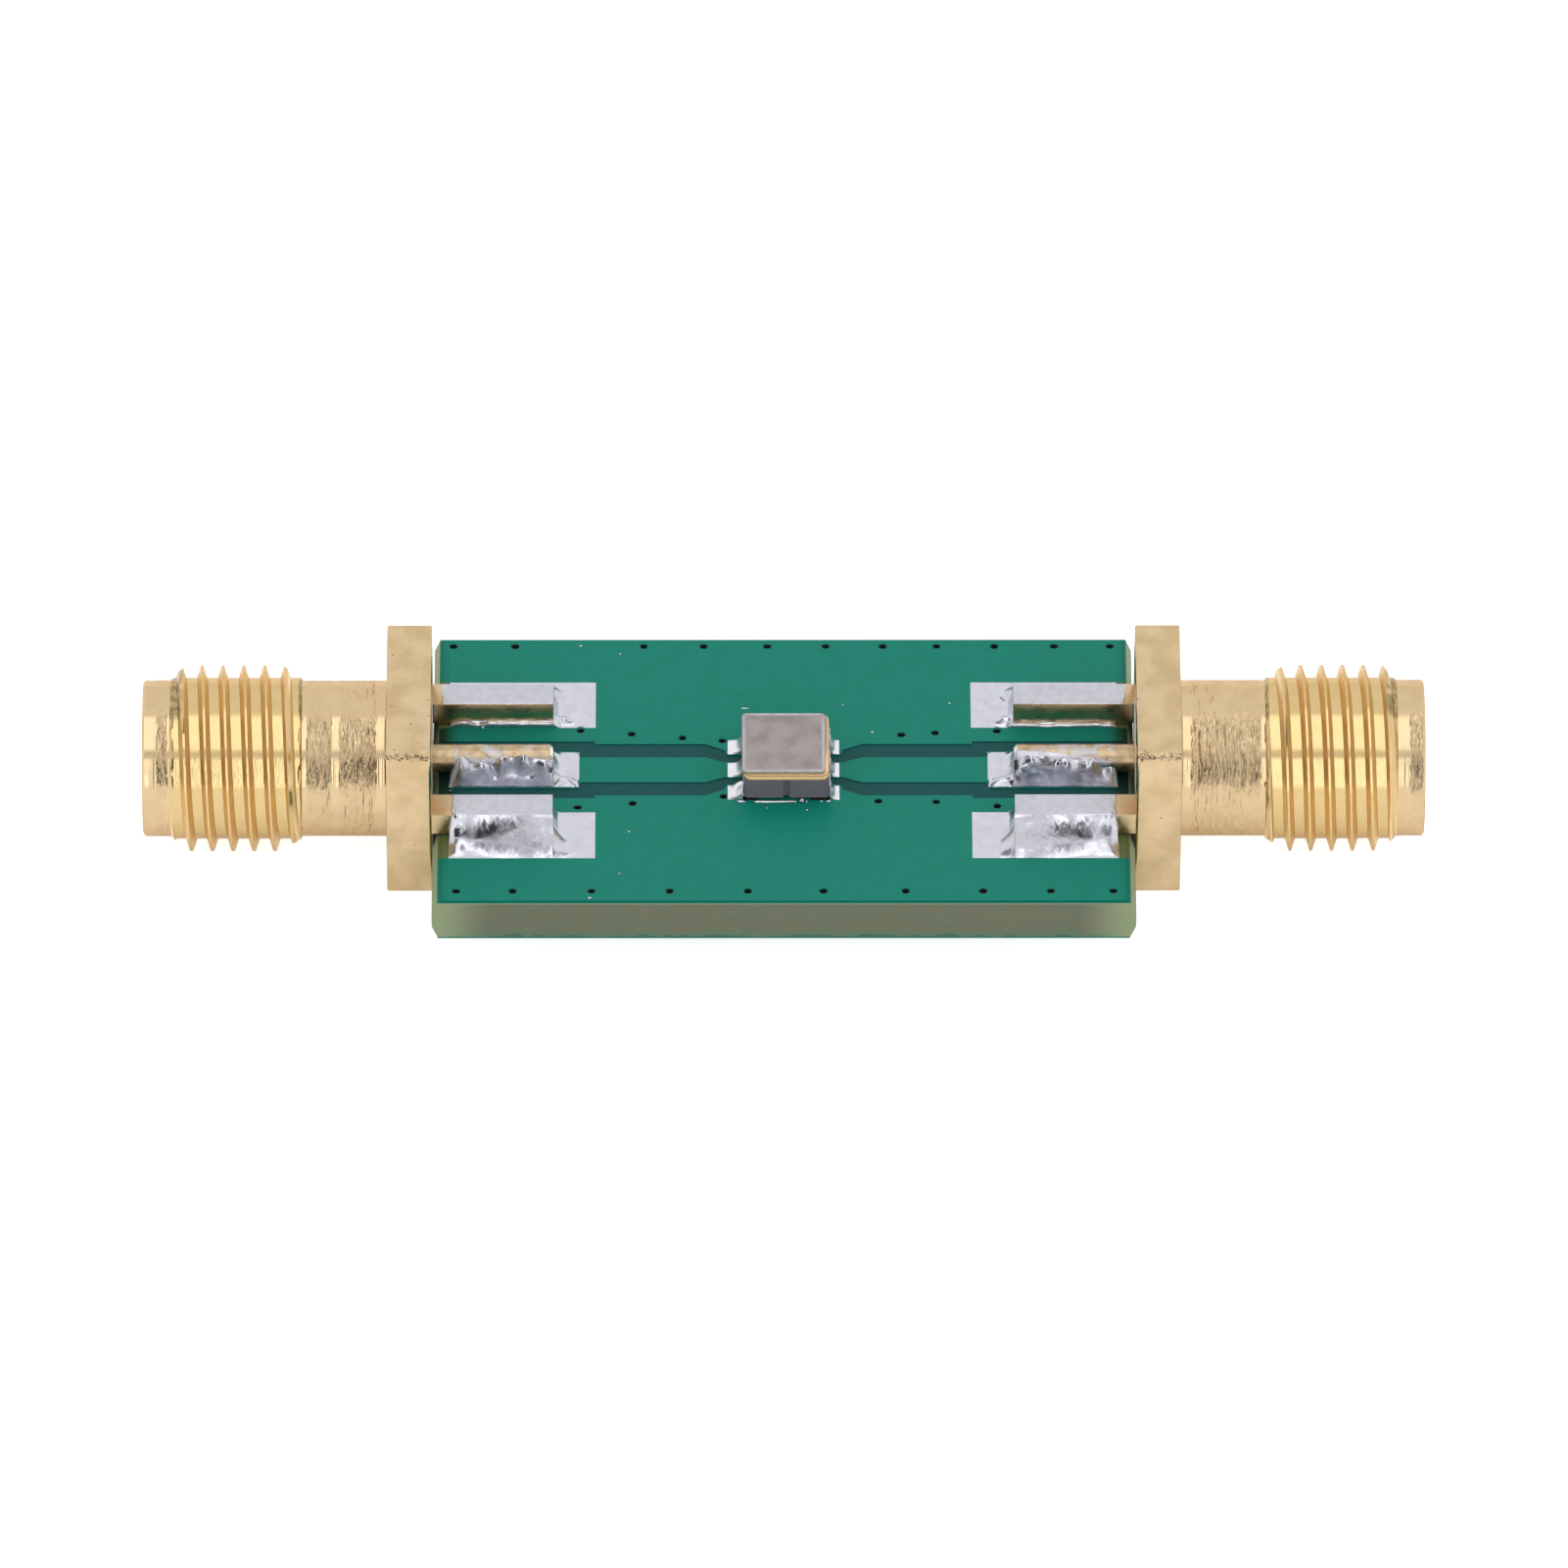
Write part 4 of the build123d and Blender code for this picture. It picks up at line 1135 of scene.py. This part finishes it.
def build_jacks(skin, legs, contact):
    """Both jacks; the skin is the satin, turned, thread and flank gold."""
    for seed, (side, sign) in enumerate(SIDES.items()):
        data = jack_mesh(THREAD_PHASE[side], NECK_GROOVES[side], RIPPLE_SEED + seed)
        turn_to_side(data, sign)
        make_object(f"{side}_jack", data, skin, (f"{side}_jack_body",))
        data = legs_mesh()
        turn_to_side(data, sign)
        make_object(f"{side}_jack_legs", data, (legs,))
        data = contact_mesh()
        turn_to_side(data, sign)
        make_object(f"{side}_contact", data, (contact,), (f"{side}_centre_contact",))


def build_solder(tin):
    """The joints at the legs, over and under the board, and at the contact tails."""
    near_tip = [LEG_TIP - step for step in (0.45, 0.35, 0.28, 0.21, 0.15, 0.1, 0.06, 0.03)]
    near_tip += [LEG_TIP, LEG_TIP + 0.01]
    us = spread(LAND_X[0], LAND_X[1], 0.07, near_tip + [LAND_X[1] - 0.03, LAND_X[1] - 0.01])
    vs = spread(LAND_Y[0], LAND_Y[1], 0.05,
                [LAND_Y[0] + 0.012, LAND_Y[0] + 0.03, LAND_Y[0] + 0.09, LEG_INNER, LEG_INNER + 0.01,
                 LEG_OUTER - 0.01, LEG_OUTER, LAND_Y[1] - 0.02])
    seed = 0
    for side, sign_x in SIDES.items():
        for row, sign_y in ROWS.items():
            for level in ("top", "bottom"):
                seed += 1
                face, up = (LAND_TOP, 1) if level == "top" else (LAND_BOTTOM, -1)
                shape = LEG_SOLDER[f"{side}_{row}" if level == "top" else "under"]
                data = mound(us, vs, leg_fillet(seed, *shape), placer(sign_x, sign_y, face, up))
                make_object(f"{side}_{row}_{level}_joint", data, (tin,),
                            (f"{side}_{row}_{level}_solder",))

        data = mound(spread(PAD_X[0], PAD_X[1], 0.05, near_tip + [PAD_X[1] - 0.02]),
                     spread(-PAD_HALF, PAD_HALF, 0.04), tail_fillet(*TAIL_SOLDER[side]), placer(sign_x))
        make_object(f"{side}_pin_joint", data, (tin,), (f"{side}_signal_solder",))


def dress_nodes(finishes):
    """Materials of the frame's own nodes that show as they are."""
    for node, finish in finishes.items():
        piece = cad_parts[node]
        piece.data.materials.clear()
        piece.data.materials.append(finish.material)


def build_object():
    """Every piece of the module, and the finishes of the solids that show."""
    tin = solder()
    mask = solder_mask()
    foil = copper()
    build_jacks((plain_gold(), turned_gold(), thread_gold(), flank_gold()), leg_gold(), contact_gold())
    build_solder(tin)
    make_object("filter_cover", lid_mesh(), (lid_metal(),), ("filter_lid",))
    make_object("filter_frame", frame_mesh(), (ring_gold(),), ("filter_seal_ring",))
    make_object("filter_joints", terminal_fillets(), (terminal_solder(),), ("filter_solder",))
    make_object("hole_lips", hole_mesh(), (hole_lacquer(),))
    make_object("solder_beads", bead_mesh(), (tin,))
    white = dielectric()
    dress_nodes({
        "left_jack_insulator": white, "right_jack_insulator": white, "circuit_board": laminate(),
        "ground_copper": foil, "left_signal_trace": foil, "right_signal_trace": foil,
        "top_solder_mask": mask, "bottom_solder_mask": mask, "filter_base": ceramic(),
        "filter_terminals": tin, "filter_crystal": crystal(),
    })


# Stage, light and camera

def seen_white(values, direct, mirrored):
    """Light that a camera or glass ray sees, and a mirror ray sees, and soft light doesn't."""
    path = values.nodes.new("ShaderNodeLightPath")
    plain = values.larger(path.outputs["Is Camera Ray"], path.outputs["Is Transmission Ray"])
    return values.larger(values.times(plain, direct), values.times(path.outputs["Is Glossy Ray"], mirrored))


def build_floor():
    """A pale floor that looks white and keeps a soft shadow."""
    data = bmesh.new()
    bmesh.ops.create_grid(data, x_segments=1, y_segments=1, size=FLOOR_REACH)
    mesh = bpy.data.meshes.new("floor")
    data.to_mesh(mesh)
    data.free()
    floor = bpy.data.objects.new("floor", mesh)
    bpy.context.scene.collection.objects.link(floor)
    floor.location.z = -FLOOR_DROP * MM
    f = Finish("floor_pale", (0.8, 0.8, 0.8, 1), 1.0)
    f.fix("Specular IOR Level", 0.0)
    f.fix("Emission Color", (1, 1, 1, 1))
    f.links.new(seen_white(f, FLOOR_SEEN, FLOOR_MIRRORED), f.shader.inputs["Emission Strength"])
    mesh.materials.append(f.material)


def build_world():
    """A white tent with its front open: a lit strip in the middle of the opening, dark beside it."""
    world = bpy.data.worlds.new("tent")
    bpy.context.scene.world = world
    world.use_nodes = True
    v = Values(world.node_tree)
    v.nodes.clear()

    def above(value, edge, softness):
        """0 below the edge and 1 above it, over a soft step."""
        return v.math("ADD", v.math("DIVIDE", v.minus(value, edge), softness), 0.5, True)

    def below(value, edge, softness):
        return v.minus(1.0, above(value, edge, softness))

    def mixed(share, first, second):
        """First where share is 0, and second where it is 1."""
        return v.plus(v.times(v.minus(second, first), share), first)

    way = v.nodes.new("ShaderNodeSeparateXYZ")
    v.links.new(v.nodes.new("ShaderNodeTexCoord").outputs["Generated"], way.inputs[0])
    x, y, z = way.outputs
    # Angle up from the horizon in front: 90 degrees is overhead, 180 is behind
    rise = v.times(v.math("ARCTAN2", z, v.times(y, -1.0)), 180 / math.pi)
    low_step, high_step, side_step = OPENING_STEPS
    opening = v.times(above(rise, OPENING_LOW, low_step), below(rise, OPENING_HIGH, high_step))
    opening = v.times(opening, below(v.away(x, OPENING_MIDDLE), OPENING_HALF, side_step))
    upper = above(rise, LENS_ANGLE, LENS_STEPS[0])
    lens = below(v.away(rise, LENS_ANGLE), LENS_HALF, LENS_STEPS[1])
    strip_half = mixed(upper, *STRIP_HALF)
    lit = below(v.minus(v.away(x, STRIP_MIDDLE), strip_half), 0.0, STRIP_STEP)
    strip = mixed(lens, mixed(upper, *STRIP_LIGHT), LENS_LIGHT)
    gap = mixed(lens, mixed(upper, *GAP_LIGHT), LENS_LIGHT)
    # Only mirrored rays see the opening: the camera, glass and soft light meet plain white
    glossy = v.nodes.new("ShaderNodeLightPath").outputs["Is Glossy Ray"]
    strength = mixed(v.times(opening, glossy), 1.0, mixed(lit, gap, strip))
    background = v.nodes.new("ShaderNodeBackground")
    output = v.nodes.new("ShaderNodeOutputWorld")
    background.inputs["Color"].default_value = (1, 1, 1, 1)
    v.links.new(strength, background.inputs["Strength"])
    v.links.new(background.outputs[0], output.inputs["Surface"])


def build_camera():
    """The photograph's viewpoint: a long lens from the front, half way up."""
    elevation = math.radians(CAMERA_ELEVATION)
    azimuth = math.radians(CAMERA_AZIMUTH)
    away = Vector((math.sin(azimuth) * math.cos(elevation), -math.cos(azimuth) * math.cos(elevation),
                   math.sin(elevation)))
    camera = bpy.data.objects.new("camera", bpy.data.cameras.new("camera"))
    bpy.context.scene.collection.objects.link(camera)
    camera.location = (Vector(CAMERA_TARGET) + away * CAMERA_DISTANCE) * MM
    camera.rotation_euler = away.to_track_quat("Z", "Y").to_euler()
    camera.rotation_euler.rotate_axis("Z", math.radians(CAMERA_ROLL))
    lens = camera.data
    lens.sensor_width = SENSOR
    lens.lens = FOCAL_PIXELS * SENSOR / PHOTO_PIXELS
    lens.clip_start, lens.clip_end = 0.05, 10.0
    bpy.context.scene.camera = camera


build_object()
build_floor()
build_world()
build_camera()
bpy.context.scene.view_settings.view_transform = "Standard"
